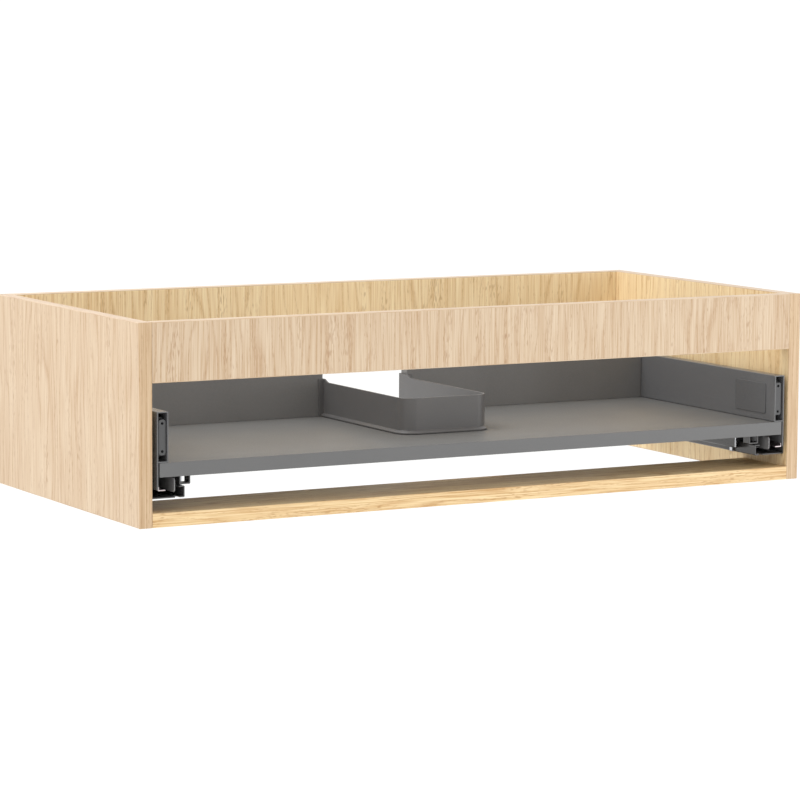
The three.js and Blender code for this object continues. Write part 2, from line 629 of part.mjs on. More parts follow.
const BOX_ACROSS = [SIDE_OFF_PANEL + SHEET, INNER_WALL_IN - SHEET];
const BOX_UP = [SHELF_BASE + SHEET, SIDE_TOP - SHEET];
const BRACKET_UP = [BOX_UP[0] + BRACKET_BELOW, BOX_UP[1] - BRACKET_ABOVE];
const CAP_UP = [BRACKET_UP[0] + CAP_ABOVE_BRACKET_BASE, BRACKET_UP[1] - CAP_BELOW_BRACKET_TOP];
const WINDOW_ALONG = [CAP_FRONT + CAP_EDGE, CAP_FRONT + CAP_LENGTH - CAP_EDGE];
const WINDOW_UP = [CAP_UP[0] + CAP_EDGE, CAP_UP[1] - CAP_EDGE];

// A double-walled folded profile: its outer wall carries on down as a skirt past the drawer bottom.
// A window in the inner wall, under the cover cap, gives access to the front bracket.
function drawerSide() {
  const skirt = block([SIDE_OFF_PANEL, SIDE_OFF_PANEL + SHEET], [0, NOMINAL_LENGTH], [SIDE_BASE, SIDE_TOP]);
  const box = block([SIDE_OFF_PANEL, INNER_WALL_IN], [0, NOMINAL_LENGTH], [SHELF_BASE, SIDE_TOP]);
  const hollow = block(BOX_ACROSS, [-CUT_MARGIN, NOMINAL_LENGTH + CUT_MARGIN], BOX_UP);
  const wallCut = [INNER_WALL_IN - SHEET - CUT_MARGIN, INNER_WALL_IN + CUT_MARGIN];
  const window = block(wallCut, WINDOW_ALONG, WINDOW_UP);
  return joined([skirt, box]).subtract(joined([hollow, window]));
}

function sideFoot() {
  const base = SIDE_BASE - SHEET;
  return strip([FOOT_END_INSET, NOMINAL_LENGTH - FOOT_END_INSET], [
    [[FOOT_IN, FOOT_IN + FOOT_WIDTH], [base, base + SHEET]],
    [[FOOT_IN, FOOT_IN + SHEET], [base, base + FOOT_UPSTAND]],
  ]);
}

// A rounded bar whose front is narrower than the hollow, and whose rear part fills it.
function frontBracket() {
  const middle = (BOX_ACROSS[0] + BOX_ACROSS[1]) / 2;
  const neck = [BOX_ACROSS[0] + BRACKET_GAP, BOX_ACROSS[1] - BRACKET_GAP];
  const full = [BOX_ACROSS[0] + RUN_CLEARANCE, BOX_ACROSS[1] - RUN_CLEARANCE];
  const back = BRACKET_RECESS + BRACKET_LENGTH;
  const [base, top] = BRACKET_UP;
  const front = plateAlongY(roundedRectangle(neck, BRACKET_UP, BRACKET_CORNER), [BRACKET_RECESS, back]);
  const rear = plateAlongY(
    roundedRectangle(full, [base - BRACKET_SHOULDER, top + BRACKET_SHOULDER], BRACKET_CORNER),
    [BRACKET_RECESS + BRACKET_NECK, back],
  );
  const holes = [base + BRACKET_HOLE_INSET, top - BRACKET_HOLE_INSET].map((z) =>
    bar("y", [0, BRACKET_RECESS + BRACKET_HOLE_DEPTH], BRACKET_HOLE_RADIUS, [middle, z], SMALL_SIDES),
  );
  return joined([front, rear]).subtract(joined(holes));
}

// A plain rounded cover whose back clips into the window of the drawer side.
function coverCap() {
  const face = INNER_WALL_IN + RUN_CLEARANCE;
  const cover = plateAlongX(
    roundedRectangle([CAP_FRONT, CAP_FRONT + CAP_LENGTH], CAP_UP, CAP_CORNER),
    [face, face + CAP_PROUD],
  );
  const clip = block(
    [INNER_WALL_IN - SHEET, face],
    [WINDOW_ALONG[0] + CAP_FIT, WINDOW_ALONG[1] - CAP_FIT],
    [WINDOW_UP[0] + CAP_FIT, WINDOW_UP[1] - CAP_FIT],
  );
  return joined([cover, clip]);
}

// A plug in the side's rear end with a plate that lies on the drawer back's rear face.
function rearBracket() {
  const up = [BOX_UP[0] + REAR_PLATE_MARGIN, BOX_UP[1] - REAR_PLATE_MARGIN];
  const face = NOMINAL_LENGTH + BOARD_REST_GAP;
  const edge = INNER_WALL_IN + REAR_PLATE_WIDTH;
  const plug = block(
    [BOX_ACROSS[0] + RUN_CLEARANCE, BOX_ACROSS[1] - RUN_CLEARANCE],
    [NOMINAL_LENGTH - REAR_PLUG_LENGTH, face],
    up,
  );
  const plate = block([BOX_ACROSS[0] + RUN_CLEARANCE, edge], [face, face + SHEET], up);
  const through = [face - CUT_MARGIN, face + SHEET + CUT_MARGIN];
  const holes = [up[0] + REAR_HOLE_END_INSET, up[1] - REAR_HOLE_END_INSET].map((z) =>
    bar("y", through, REAR_HOLE_RADIUS, [edge - REAR_HOLE_EDGE_INSET, z]),
  );
  return joined([plug, plate]).subtract(joined(holes));
}

const SIDE_PARTS = {
  cabinet_rail: [cabinetRail, "runner_steel"],
  middle_rail: [middleRail, "runner_steel"],
  lower_cage: [lowerCage, "black_plastic"],
  upper_cage: [upperCage, "black_plastic"],
  drawer_rail: [drawerRail, "runner_steel"],
  release_lever: [releaseLever, "black_plastic"],
  release_spring: [releaseSpring, "bright_steel"],
  closer_tray: [closerTray, "black_plastic"],
  closer_catch: [closerCatch, "black_plastic"],
  closer_spring: [closerSpring, "bright_steel"],
  damper_cylinder: [damperCylinder, "zinc"],
  damper_rod: [damperRod, "bright_steel"],
  drawer_side: [drawerSide, "grey_steel"],
  side_foot: [sideFoot, "zinc"],
  front_bracket: [frontBracket, "grey_plastic"],
  cover_cap: [coverCap, "grey_plastic"],
  rear_bracket: [rearBracket, "grey_steel"],
};

function addSide(sideName, side) {
  const group = new THREE.Group();
  group.position.set(side * (WIDTH / 2 - BOARD), FRONT_FACE, 0);
  group.scale.x = -side;
  root.add(group);
  for (const [name, [make, finish]] of Object.entries(SIDE_PARTS)) {
    addPart(group, `${name}_${sideName}`, make(), finish);
  }
  SCREW_FROM_FRONT.forEach((y, index) => {
    addPart(group, `rail_screw_${index + 1}_${sideName}`, railScrew(y), "zinc");
  });
  addDowels(group, sideName);
}

// ---- Drawer boards and trap surround, in the row's own frame ----

const DRAWER_HALF = WIDTH / 2 - BOARD;
const TRAP_HALF = TRAP_WIDTH / 2;
const DRAWER_BACK_PLANE = FRONT_FACE + NOMINAL_LENGTH;
const TRAP_FRONT_PLANE = FRONT_FACE + TRAP_FRONT;

// A U open to the back, with rounded front corners, that reaches from the front line to the back line.
function trapOutline(half, front, back, radius) {
  const outline = new THREE.Shape();
  outline.moveTo(-half, back);
  outline.lineTo(-half, front + radius);
  outline.absarc(-half + radius, front + radius, radius, Math.PI, 1.5 * Math.PI);
  outline.lineTo(half - radius, front);
  outline.absarc(half - radius, front + radius, radius, 1.5 * Math.PI, 2 * Math.PI);
  outline.lineTo(half, back);
  return outline;
}

function drawerBottom() {
  const half = DRAWER_HALF - SIDE_OFF_PANEL - SHEET - BOTTOM_EDGE_GAP;
  const board = block([-half, half], [FRONT_FACE, DRAWER_BACK_PLANE], [FLOOR_BASE, FLOOR_TOP]);
  const cutOut = trapOutline(
    TRAP_HALF + TRAP_FIT,
    TRAP_FRONT_PLANE - TRAP_FIT,
    DRAWER_BACK_PLANE + CUT_MARGIN,
    TRAP_CORNER + TRAP_FIT,
  );
  return board.subtract(plateAlongZ(cutOut, [FLOOR_BASE - CUT_MARGIN, FLOOR_TOP + CUT_MARGIN]));
}

function drawerBack(side) {
  const ends = [
    side * (DRAWER_HALF - INNER_WALL_IN - BACK_SIDE_GAP),
    side * (TRAP_HALF + CHANNEL_GAP),
  ].sort((a, b) => a - b);
  return block(ends, [FRONT_FACE + BACK_FACE, DRAWER_BACK_PLANE], [FLOOR_TOP, SIDE_TOP]);
}

// The upper edge of the surround's side walls: level, with a sloped step up at the rear.
function trapWallCut() {
  const top = FLOOR_TOP + TRAP_WALL_HEIGHT;
  const rearTop = FLOOR_TOP + TRAP_REAR_HEIGHT;
  const stepBack = FRONT_FACE + BACK_FACE - CHANNEL_GAP - CHANNEL_WALL - TRAP_STEP_LENGTH;
  const front = TRAP_FRONT_PLANE - CUT_MARGIN;
  return plateAlongX(
    polygon([
      [front, top],
      [stepBack - TRAP_STEP_SLOPE, top],
      [stepBack, rearTop + CUT_MARGIN],
      [front, rearTop + CUT_MARGIN],
    ]),
    [-TRAP_HALF - CUT_MARGIN, TRAP_HALF + CUT_MARGIN],
  );
}

// The clip at the rear of one side wall, which grips the end of the drawer back from three sides.
function trapChannel(side) {
  const outer = side * (TRAP_HALF + CHANNEL_WIDTH);
  const wall = side * (TRAP_HALF - TRAP_WALL);
  const end = side * TRAP_HALF;
  const face = FRONT_FACE + BACK_FACE - CHANNEL_GAP;
  const rear = DRAWER_BACK_PLANE + CHANNEL_GAP;
  const up = [FLOOR_TOP, FLOOR_TOP + TRAP_REAR_HEIGHT];
  const ordered = (a, b) => [Math.min(a, b), Math.max(a, b)];
  return joined([
    block(ordered(outer, wall), [face - CHANNEL_WALL, face], up),
    block(ordered(outer, wall), [rear, rear + CHANNEL_WALL], up),
    block(ordered(end, wall), [face - CHANNEL_WALL, rear + CHANNEL_WALL], up),
  ]);
}

function trapSurround() {
  const rearEnd = DRAWER_BACK_PLANE;
  const rearTop = FLOOR_TOP + TRAP_REAR_HEIGHT;
  const wallBase = FLOOR_BASE + TRAP_FIT;
  const outside = trapOutline(TRAP_HALF, TRAP_FRONT_PLANE, rearEnd, TRAP_CORNER);
  const flangeOutline = trapOutline(
    TRAP_HALF + TRAP_FLANGE,
    TRAP_FRONT_PLANE - TRAP_FLANGE,
    FRONT_FACE + BACK_FACE - CHANNEL_GAP,
    TRAP_CORNER + TRAP_FLANGE,
  );
  const inside = trapOutline(
    TRAP_HALF - TRAP_WALL,
    TRAP_FRONT_PLANE + TRAP_WALL,
    rearEnd + CHANNEL_WIDTH,
    TRAP_CORNER - TRAP_WALL,
  );
  const wall = plateAlongZ(outside, [wallBase, rearTop]);
  const flange = plateAlongZ(flangeOutline, [FLOOR_TOP, FLOOR_TOP + TRAP_FLANGE_THICKNESS]);
  const hollow = plateAlongZ(inside, [wallBase - CUT_MARGIN, rearTop + CUT_MARGIN]);
  return joined([wall.subtract(trapWallCut()), flange, trapChannel(-1), trapChannel(1)]).subtract(hollow);
}

addCarcass();
addSide("left", -1);
addSide("right", 1);
addPart(root, "drawer_bottom", drawerBottom(), "grey_board");
addPart(root, "drawer_back_left", drawerBack(-1), "grey_board");
addPart(root, "drawer_back_right", drawerBack(1), "grey_board");
addPart(root, "trap_surround", trapSurround(), "grey_plastic");

export default root;
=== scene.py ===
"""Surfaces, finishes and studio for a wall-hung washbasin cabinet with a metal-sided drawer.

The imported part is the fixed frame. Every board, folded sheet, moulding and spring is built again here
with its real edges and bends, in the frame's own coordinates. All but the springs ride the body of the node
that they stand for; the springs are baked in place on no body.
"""

import logging
import math
from dataclasses import dataclass, field
from enum import Enum
from typing import Sequence

import bmesh
import bpy
import numpy as np
from mathutils import Euler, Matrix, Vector
from mathutils.geometry import tessellate_polygon


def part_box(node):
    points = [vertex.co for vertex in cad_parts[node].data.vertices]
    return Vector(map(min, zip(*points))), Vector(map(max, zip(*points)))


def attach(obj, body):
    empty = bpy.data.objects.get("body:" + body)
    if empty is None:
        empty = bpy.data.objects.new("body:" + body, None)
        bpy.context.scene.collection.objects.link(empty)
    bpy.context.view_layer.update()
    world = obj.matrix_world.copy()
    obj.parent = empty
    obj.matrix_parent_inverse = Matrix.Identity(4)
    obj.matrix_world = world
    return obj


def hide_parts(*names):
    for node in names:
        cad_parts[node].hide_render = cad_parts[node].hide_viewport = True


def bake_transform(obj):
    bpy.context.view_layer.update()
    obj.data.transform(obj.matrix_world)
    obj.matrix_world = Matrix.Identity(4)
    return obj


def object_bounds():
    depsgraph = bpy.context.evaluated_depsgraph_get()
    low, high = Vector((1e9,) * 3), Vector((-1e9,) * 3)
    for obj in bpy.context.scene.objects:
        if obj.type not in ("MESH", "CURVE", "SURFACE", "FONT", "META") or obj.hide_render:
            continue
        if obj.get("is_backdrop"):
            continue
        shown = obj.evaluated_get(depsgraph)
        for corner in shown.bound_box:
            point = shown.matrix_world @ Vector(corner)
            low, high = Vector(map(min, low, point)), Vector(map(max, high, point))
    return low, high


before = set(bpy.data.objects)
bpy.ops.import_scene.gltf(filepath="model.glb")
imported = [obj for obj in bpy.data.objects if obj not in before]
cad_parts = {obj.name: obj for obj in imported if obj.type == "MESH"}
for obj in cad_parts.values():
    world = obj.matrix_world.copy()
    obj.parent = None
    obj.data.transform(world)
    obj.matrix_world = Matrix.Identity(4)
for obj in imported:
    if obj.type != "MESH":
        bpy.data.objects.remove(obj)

log = logging.getLogger("washbasin_cabinet")

MM = 0.001
Array = np.ndarray


class Axis(Enum):
    """The direction in which an outline is carried."""

    X = 0
    Y = 1
    Z = 2


class Side(Enum):
    """One of the two mirrored sets of drawer hardware; its value is the sign of x there."""

    LEFT = -1
    RIGHT = 1

    @property
    def word(self) -> str:
        """The ending that the side's nodes carry in their names."""
        return self.name.lower()


# ---------------------------------------------------------------------------------------------------
# Surfaces
# ---------------------------------------------------------------------------------------------------


@dataclass
class Shape:
    """Points of a surface with the faces between them."""

    points: Array
    faces: list[tuple[int, ...]]

    def __add__(self, other: "Shape") -> "Shape":
        """Both surfaces in one, the other's faces renumbered to follow this one's points."""
        shift = len(self.points)
        moved = [tuple(i + shift for i in face) for face in other.faces]
        return Shape(np.vstack([self.points, other.points]), self.faces + moved)


def joined(shapes: Sequence[Shape]) -> Shape:
    """Several surfaces in one."""
    return sum(shapes[1:], shapes[0])


def grid_faces(rows: int, columns: int, start: int = 0, wrap: bool = True) -> list[tuple[int, ...]]:
    """Quads of a grid of points stored row by row.

    Args:
        rows: number of rows.
        columns: number of points in a row.
        start: index of the first point.
        wrap: whether the last point of a row joins the first.

    Returns:
        Four point indices for each quad.
    """
    i, j = np.meshgrid(np.arange(rows - 1), np.arange(columns if wrap else columns - 1), indexing="ij")
    following = (j + 1) % columns
    quads = np.stack([i * columns + j, i * columns + following,
                      (i + 1) * columns + following, (i + 1) * columns + j], axis=-1)
    return [tuple(quad) for quad in (quads.reshape(-1, 4) + start).tolist()]


def unit(vectors: Array) -> Array:
    """Vectors scaled to length one."""
    return vectors / np.maximum(np.linalg.norm(vectors, axis=-1, keepdims=True), 1e-12)


def left_of(directions: Array) -> Array:
    """Flat directions turned a quarter turn to the left: (x, y) becomes (-y, x)."""
    return np.stack([-directions[..., 1], directions[..., 0]], axis=-1)


def counter_clockwise(loop: Array) -> Array:
    """The loop in the order that encloses its area on its left (twice the area is sum of x dy - y dx)."""
    following = np.roll(loop, -1, axis=0)
    area = np.sum(loop[:, 0] * following[:, 1] - loop[:, 1] * following[:, 0])
    return loop if area > 0 else loop[::-1]


def filleted(corners: Array, radii: Sequence[float] | float, steps: int = 4) -> Array:
    """A closed outline with an arc at each corner.

    At a corner whose half angle is h, the arc of radius r starts r / tan(h) from the corner, and its
    centre lies r / sin(h) along the bisector. The arc turns pi - 2 h about that centre.

    Args:
        corners: the corners in order.
        radii: one radius for all corners, or one for each.
        steps: straight pieces in each arc.

    Returns:
        The points of the outline, with no point twice.
    """
    corners = np.asarray(corners, float)
    radius = np.broadcast_to(np.asarray(radii, float), len(corners))[:, None]
    back = unit(np.roll(corners, 1, axis=0) - corners)
    ahead = unit(np.roll(corners, -1, axis=0) - corners)
    half = 0.5 * np.arccos(np.clip(np.sum(back * ahead, axis=1, keepdims=True), -1.0, 1.0))
    centre = corners + unit(back + ahead) * radius / np.sin(half)
    spoke = corners + back * radius / np.tan(half) - centre
    turn = np.sign(back[:, :1] * ahead[:, 1:] - back[:, 1:] * ahead[:, :1])
    angle = -turn * (math.pi - 2 * half) * np.linspace(0, 1, steps + 1)[None, :]
    cos, sin = np.cos(angle)[..., None], np.sin(angle)[..., None]
    arcs = centre[:, None, :] + spoke[:, None, :] * cos + left_of(spoke)[:, None, :] * sin
    points = arcs.reshape(-1, 2)
    kept = np.linalg.norm(points - np.roll(points, 1, axis=0), axis=1) > 1e-7
    return points[kept]


def rectangle(low: Sequence[float], high: Sequence[float], radii: Sequence[float] | float = 0.0,
              steps: int = 4) -> Array:
    """A rectangle with rounded corners.

    Args:
        low: its low corner.
        high: its high corner.
        radii: one radius, or one for each corner from the low one counter-clockwise.
        steps: straight pieces in each arc.

    Returns:
        The outline.
    """
    corners = np.array([[low[0], low[1]], [high[0], low[1]], [high[0], high[1]], [low[0], high[1]]])
    return filleted(corners, radii, steps)


def circle(centre: Sequence[float], radius: float, sides: int = 24) -> Array:
    """Points round a circle: the centre plus radius times (cos t, sin t)."""
    t = np.linspace(0, 2 * math.pi, sides, endpoint=False)
    return np.asarray(centre, float) + radius * np.stack([np.cos(t), np.sin(t)], axis=1)


# Shares of a sheet's thickness: the rounding of its cut edges, and how much wider a fold is outside
EDGE_ROUND = 0.2
OUTER_SPREAD = 0.4


def folded(path: Sequence[Sequence[float]], thickness: float, bend: float) -> Array:
    """The outline of a folded sheet from the middle line of its cross-section.

    Each side lies half the thickness off the middle line, mitred at the corners. The inside of a bend
    has the bend's radius. Its outside is pressed sharper, with that radius plus two fifths of the
    thickness, and the sheet's cut edges are rounded by a fifth of its thickness.

    Args:
        path: the middle line, from one edge of the sheet to the other.
        thickness: the sheet's thickness.
        bend: inner radius of the bends.

    Returns:
        The closed outline.
    """
    line = np.asarray(path, float)
    ahead = unit(np.diff(line, axis=0))
    normal = left_of(ahead)
    before, after = np.vstack([normal[:1], normal]), np.vstack([normal, normal[-1:]])
    mitre = (before + after) / (1 + np.sum(before * after, axis=1, keepdims=True))
    left, right = line + mitre * thickness / 2, line - mitre * thickness / 2
    turn = ahead[:-1, 0] * ahead[1:, 1] - ahead[:-1, 1] * ahead[1:, 0]
    edge, outside = [EDGE_ROUND * thickness], bend + OUTER_SPREAD * thickness
    left_radii = np.concatenate([edge, np.where(turn > 0, bend, outside), edge])
    right_radii = np.concatenate([edge, np.where(turn > 0, outside, bend), edge])
    return filleted(np.vstack([left, right[::-1]]), np.concatenate([left_radii, right_radii[::-1]]))


def inset(loop: Array, distance: float) -> Array:
    """Moves a loop to its left, mitred at each point.

    At a point whose sides have the left normals m and n, the move is d (m + n) / (1 + m . n).

    Args:
        loop: the closed outline.
        distance: how far it moves.

    Returns:
        The moved outline.
    """
    ahead = unit(np.roll(loop, -1, axis=0) - loop)
    after = left_of(ahead)
    before = np.roll(after, 1, axis=0)
    return loop + distance * (before + after) / (1 + np.sum(before * after, axis=1, keepdims=True))


def carried(flat: Array, height: float, axis: Axis) -> Array:
    """Flat points placed at one height along an axis, in the order x, y, z."""
    return np.insert(flat, axis.value, height, axis=1)


def prism(outline: Array, span: Sequence[float], axis: Axis, arris: float = 0.0,
          holes: Sequence[Array] = (), steps: int = 3) -> Shape:
    """An outline carried along an axis, with a rounded arris round each end face.

    Along the arris the outline moves in by r (1 - sin t) while the surface drops by r (1 - cos t), for
    t from 0 to a quarter turn.

    Args:
        outline: closed outline in the plane across the axis.
        span: the two ends along the axis.
        axis: the axis.
        arris: radius of the arris.
        holes: closed outlines of holes that run right through.
        steps: straight pieces in the arris.

    Returns:
        The closed surface.
    """
    t = np.linspace(0, math.pi / 2, steps + 1) if arris else np.array([math.pi / 2])
    moved, drop = arris * (1 - np.sin(t)), arris * (1 - np.cos(t))
    levels = np.concatenate([min(span) + drop, (max(span) - drop)[::-1]])
    moves = np.concatenate([moved, moved[::-1]])
    loops = [counter_clockwise(outline)] + [counter_clockwise(hole)[::-1] for hole in holes]
    points, faces, ends = [], [], [[], []]
    start = 0
    for loop in loops:
        rings = [carried(inset(loop, move), level, axis) for move, level in zip(moves, levels)]
        points.extend(rings)
        faces.extend(grid_faces(len(rings), len(loop), start))
        ends[0].append(np.arange(len(loop)) + start)
        ends[1].append(np.arange(len(loop)) + start + (len(rings) - 1) * len(loop))
        start += len(rings) * len(loop)
    flat = [[Vector((p[0], p[1], 0.0)) for p in inset(loop, moves[0])] for loop in loops]
    caps = tessellate_polygon(flat)
    for end in ends:
        numbers = np.concatenate(end)
        faces.extend(tuple(int(numbers[i]) for i in cap) for cap in caps)
    return Shape(np.vstack(points), faces)


def turned(profile: Sequence[Sequence[float]], axis: Axis, centre: Sequence[float],
           sides: int = 24) -> Shape:
    """A profile turned about a line parallel to an axis.

    The point at angle t lies at the centre plus radius times (cos t, sin t) across the axis. A profile
    that starts and ends on the axis gives a closed surface.

    Args:
        profile: points of (along, radius).
        axis: the axis.
        centre: where the line crosses the plane across the axis.
        sides: facets round the line.

    Returns:
        The surface.
    """
    rows = np.asarray(profile, float)
    t = np.linspace(0, 2 * math.pi, sides, endpoint=False)
    ring = np.stack([np.cos(t), np.sin(t)], axis=1)
    flat = np.asarray(centre, float) + rows[:, 1, None, None] * ring[None]
    points = np.insert(flat.reshape(-1, 2), axis.value, np.repeat(rows[:, 0], sides), axis=1)
    return Shape(points, grid_faces(len(rows), sides))


def pin(span: Sequence[float], radius: float, axis: Axis, centre: Sequence[float], edge: float = 0.15,
        sides: int = 24) -> Shape:
    """A round bar with its two end edges broken at 45 degrees.

    Args:
        span: the two ends along the axis.
        radius: the bar's radius.
        axis: the axis.
        centre: where the bar's middle line crosses the plane across the axis.
        edge: how much each end edge is broken.
        sides: facets round the bar.

    Returns:
        The closed surface.
    """
    low, high = min(span), max(span)
    profile = [(low, 0.0), (low, radius - edge), (low + edge, radius),
               (high - edge, radius), (high, radius - edge), (high, 0.0)]
    return turned(profile, axis, centre, sides)


# Steps in one turn of a coil, the share of a turn that lies closed at each end, and a direction that no
# coil here runs along, from which its first spoke is worked out
COIL_STEPS = 16
COIL_CLOSED = 0.8
COIL_START = np.array([1.0, 0.3, 0.2])


def coil(start: Sequence[float], end: Sequence[float], radius: float, wire: float, turns: float,
         sides: int = 8) -> Shape:
    """A wire wound about the line from start to end, with a closed turn at each end.

    At share s of the wire the angle is 2 pi times turns times s. The place along the line follows s,
    but stands still over the first and last turn, as in a spring with ground ends.

    Args:
        start: one end of the centre line.
        end: the other end.
        radius: from the centre line to the middle of the wire.
        wire: the wire's radius.
        turns: number of turns.
        sides: facets round the wire.

    Returns:
        The closed surface.
    """
    first, last = np.asarray(start, float), np.asarray(end, float)
    line = unit(last - first)
    across = unit(np.cross(line, COIL_START))
    third = np.cross(line, across)
    s = np.linspace(0, 1, int(turns * COIL_STEPS) + 1)[:, None]
    closed = COIL_CLOSED / turns
    rise = np.clip((s - closed) / (1 - 2 * closed), 0, 1)
    angle = 2 * math.pi * turns * s
    spoke = np.cos(angle) * across + np.sin(angle) * third
    reach = wire / np.linalg.norm(last - first)
    middle = first + (last - first) * (reach + rise * (1 - 2 * reach)) + spoke * radius
    ahead = unit(np.gradient(middle, axis=0))
    lift = np.cross(ahead, spoke)
    t = np.linspace(0, 2 * math.pi, sides, endpoint=False)[None, :, None]
    rings = middle[:, None] + wire * (np.cos(t) * spoke[:, None] + np.sin(t) * lift[:, None])
    faces = grid_faces(len(rings), sides)
    faces += [tuple(range(sides))[::-1], tuple(range((len(rings) - 1) * sides, len(rings) * sides))]
    return Shape(rings.reshape(-1, 3), faces)


# The upright edges of a block are rounded a little more than the flat ones, so that their arrises close
UPRIGHT_TO_ARRIS = 1.2


def box_shape(low: Sequence[float], high: Sequence[float], arris: float) -> Shape:
    """A block with every edge rounded: a rounded rectangle carried along z with arrises."""
    outline = rectangle(low[:2], high[:2], UPRIGHT_TO_ARRIS * arris, steps=3)
    return prism(outline, (low[2], high[2]), Axis.Z, arris)


# ---------------------------------------------------------------------------------------------------
# Finishes
# ---------------------------------------------------------------------------------------------------

# Sockets of the Mix node when it mixes colours
MIX_SHARE, MIX_FROM, MIX_TO, MIX_RESULT = 0, 6, 7, 2

Socket = bpy.types.NodeSocket


def linear(code: str) -> tuple[float, float, float, float]:
    """An sRGB hex colour as linear red, green, blue and alpha."""
    values = [int(code[i:i + 2], 16) / 255 for i in (1, 3, 5)]
    return (*(v / 12.92 if v <= 0.04045 else ((v + 0.055) / 1.055) ** 2.4 for v in values), 1.0)


def add(tree: bpy.types.NodeTree, kind: str, inputs: dict | None = None,
        **settings: object) -> bpy.types.Node:
    """Adds a node to a tree.

    Args:
        tree: the material's node tree.
        kind: the node's type.
        inputs: for each input's name or number, a value or the socket that feeds it.
        settings: the node's own properties.

    Returns:
        The node.
    """
    node = tree.nodes.new(kind)
    for name, value in settings.items():
        setattr(node, name, value)
    for name, value in (inputs or {}).items():
        if isinstance(value, Socket):
            tree.links.new(value, node.inputs[name])
        else:
            node.inputs[name].default_value = value
    return node


@dataclass(frozen=True)
class Layer:
    """A colour laid over others: none of it at the value's low mark, its full strength at the high one."""

    value: Socket
    low: float
    high: float
    strength: float
    colour: str


def layered(tree: bpy.types.NodeTree, ground: str, layers: Sequence[Layer]) -> Socket:
    """Lays colours over a ground colour, one after another.

    Args:
        tree: the material's node tree.
        ground: the lowest colour.
        layers: the colours over it.

    Returns:
        The socket of the final colour.
    """
    under = linear(ground)
    for layer in layers:
        share = add(tree, "ShaderNodeMapRange", {"Value": layer.value, "From Min": layer.low,
                                                 "From Max": layer.high, "To Max": layer.strength})
        mix = add(tree, "ShaderNodeMix", {MIX_SHARE: share.outputs["Result"], MIX_FROM: under,
                                          MIX_TO: linear(layer.colour)}, data_type="RGBA")
        under = mix.outputs[MIX_RESULT]
    return under


class Grain(Enum):
    """The direction along which a board's wood grain runs."""

    X = (1.0, 0.0, 0.0)
    Y = (0.0, 1.0, 0.0)
    Z = (0.0, 0.0, 1.0)


@dataclass(frozen=True)
class Finish:
    """A surface finish: a principled shader whose constants are set here and whose pattern is nodes."""

    name: str
    colour: str
    roughness: float
    metallic: float = 0.0
    ior: float = 1.5

    def pattern(self, tree: bpy.types.NodeTree, shader: bpy.types.Node) -> None:
        """Links the finish's own pattern to the shader."""
        raise NotImplementedError

    def material(self) -> bpy.types.Material:
        """The finish as a material, made once and then shared.

        Returns:
            The material.
        """
        found = bpy.data.materials.get(self.name)
        if found:
            return found
        made = bpy.data.materials.new(self.name)
        made.use_nodes = True
        tree = made.node_tree
        tree.nodes.clear()
        shader = add(tree, "ShaderNodeBsdfPrincipled",
                     {"Base Color": linear(self.colour), "Roughness": self.roughness,
                      "Metallic": self.metallic})
        if not self.metallic:
            shader.inputs["IOR"].default_value = self.ior
        self.pattern(tree, shader)
        add(tree, "ShaderNodeOutputMaterial", {"Surface": shader.outputs["BSDF"]})
        return made


@dataclass(frozen=True)
class Streak:
    """Noise drawn out along the grain: a blotch's size in millimetres, its finer layers, and an offset.

    The offset moves the noise, so that no two streaks agree.
    """

    across_mm: float
    along_mm: float
    detail: float
    offset: float


# What the print is made of: the broad field behind the arches, the zones where rings and pores show,
# pale fibres and threads, slow clouds, and the short dark flecks
FIGURE = Streak(62.0, 340.0, 2.0, 3.1)
ZONE = Streak(40.0, 260.0, 1.0, 11.3)
GATHERING = Streak(24.0, 150.0, 1.0, 53.1)
FIBRE = Streak(2.6, 190.0, 3.0, 5.7)
THREAD = Streak(1.5, 70.0, 1.0, 91.7)
CLOUD = Streak(26.0, 420.0, 2.0, 23.9)
SMALL_PORE = Streak(1.1, 9.0, 1.0, 41.3)
LARGE_PORE = Streak(1.7, 11.0, 0.5, 71.9)


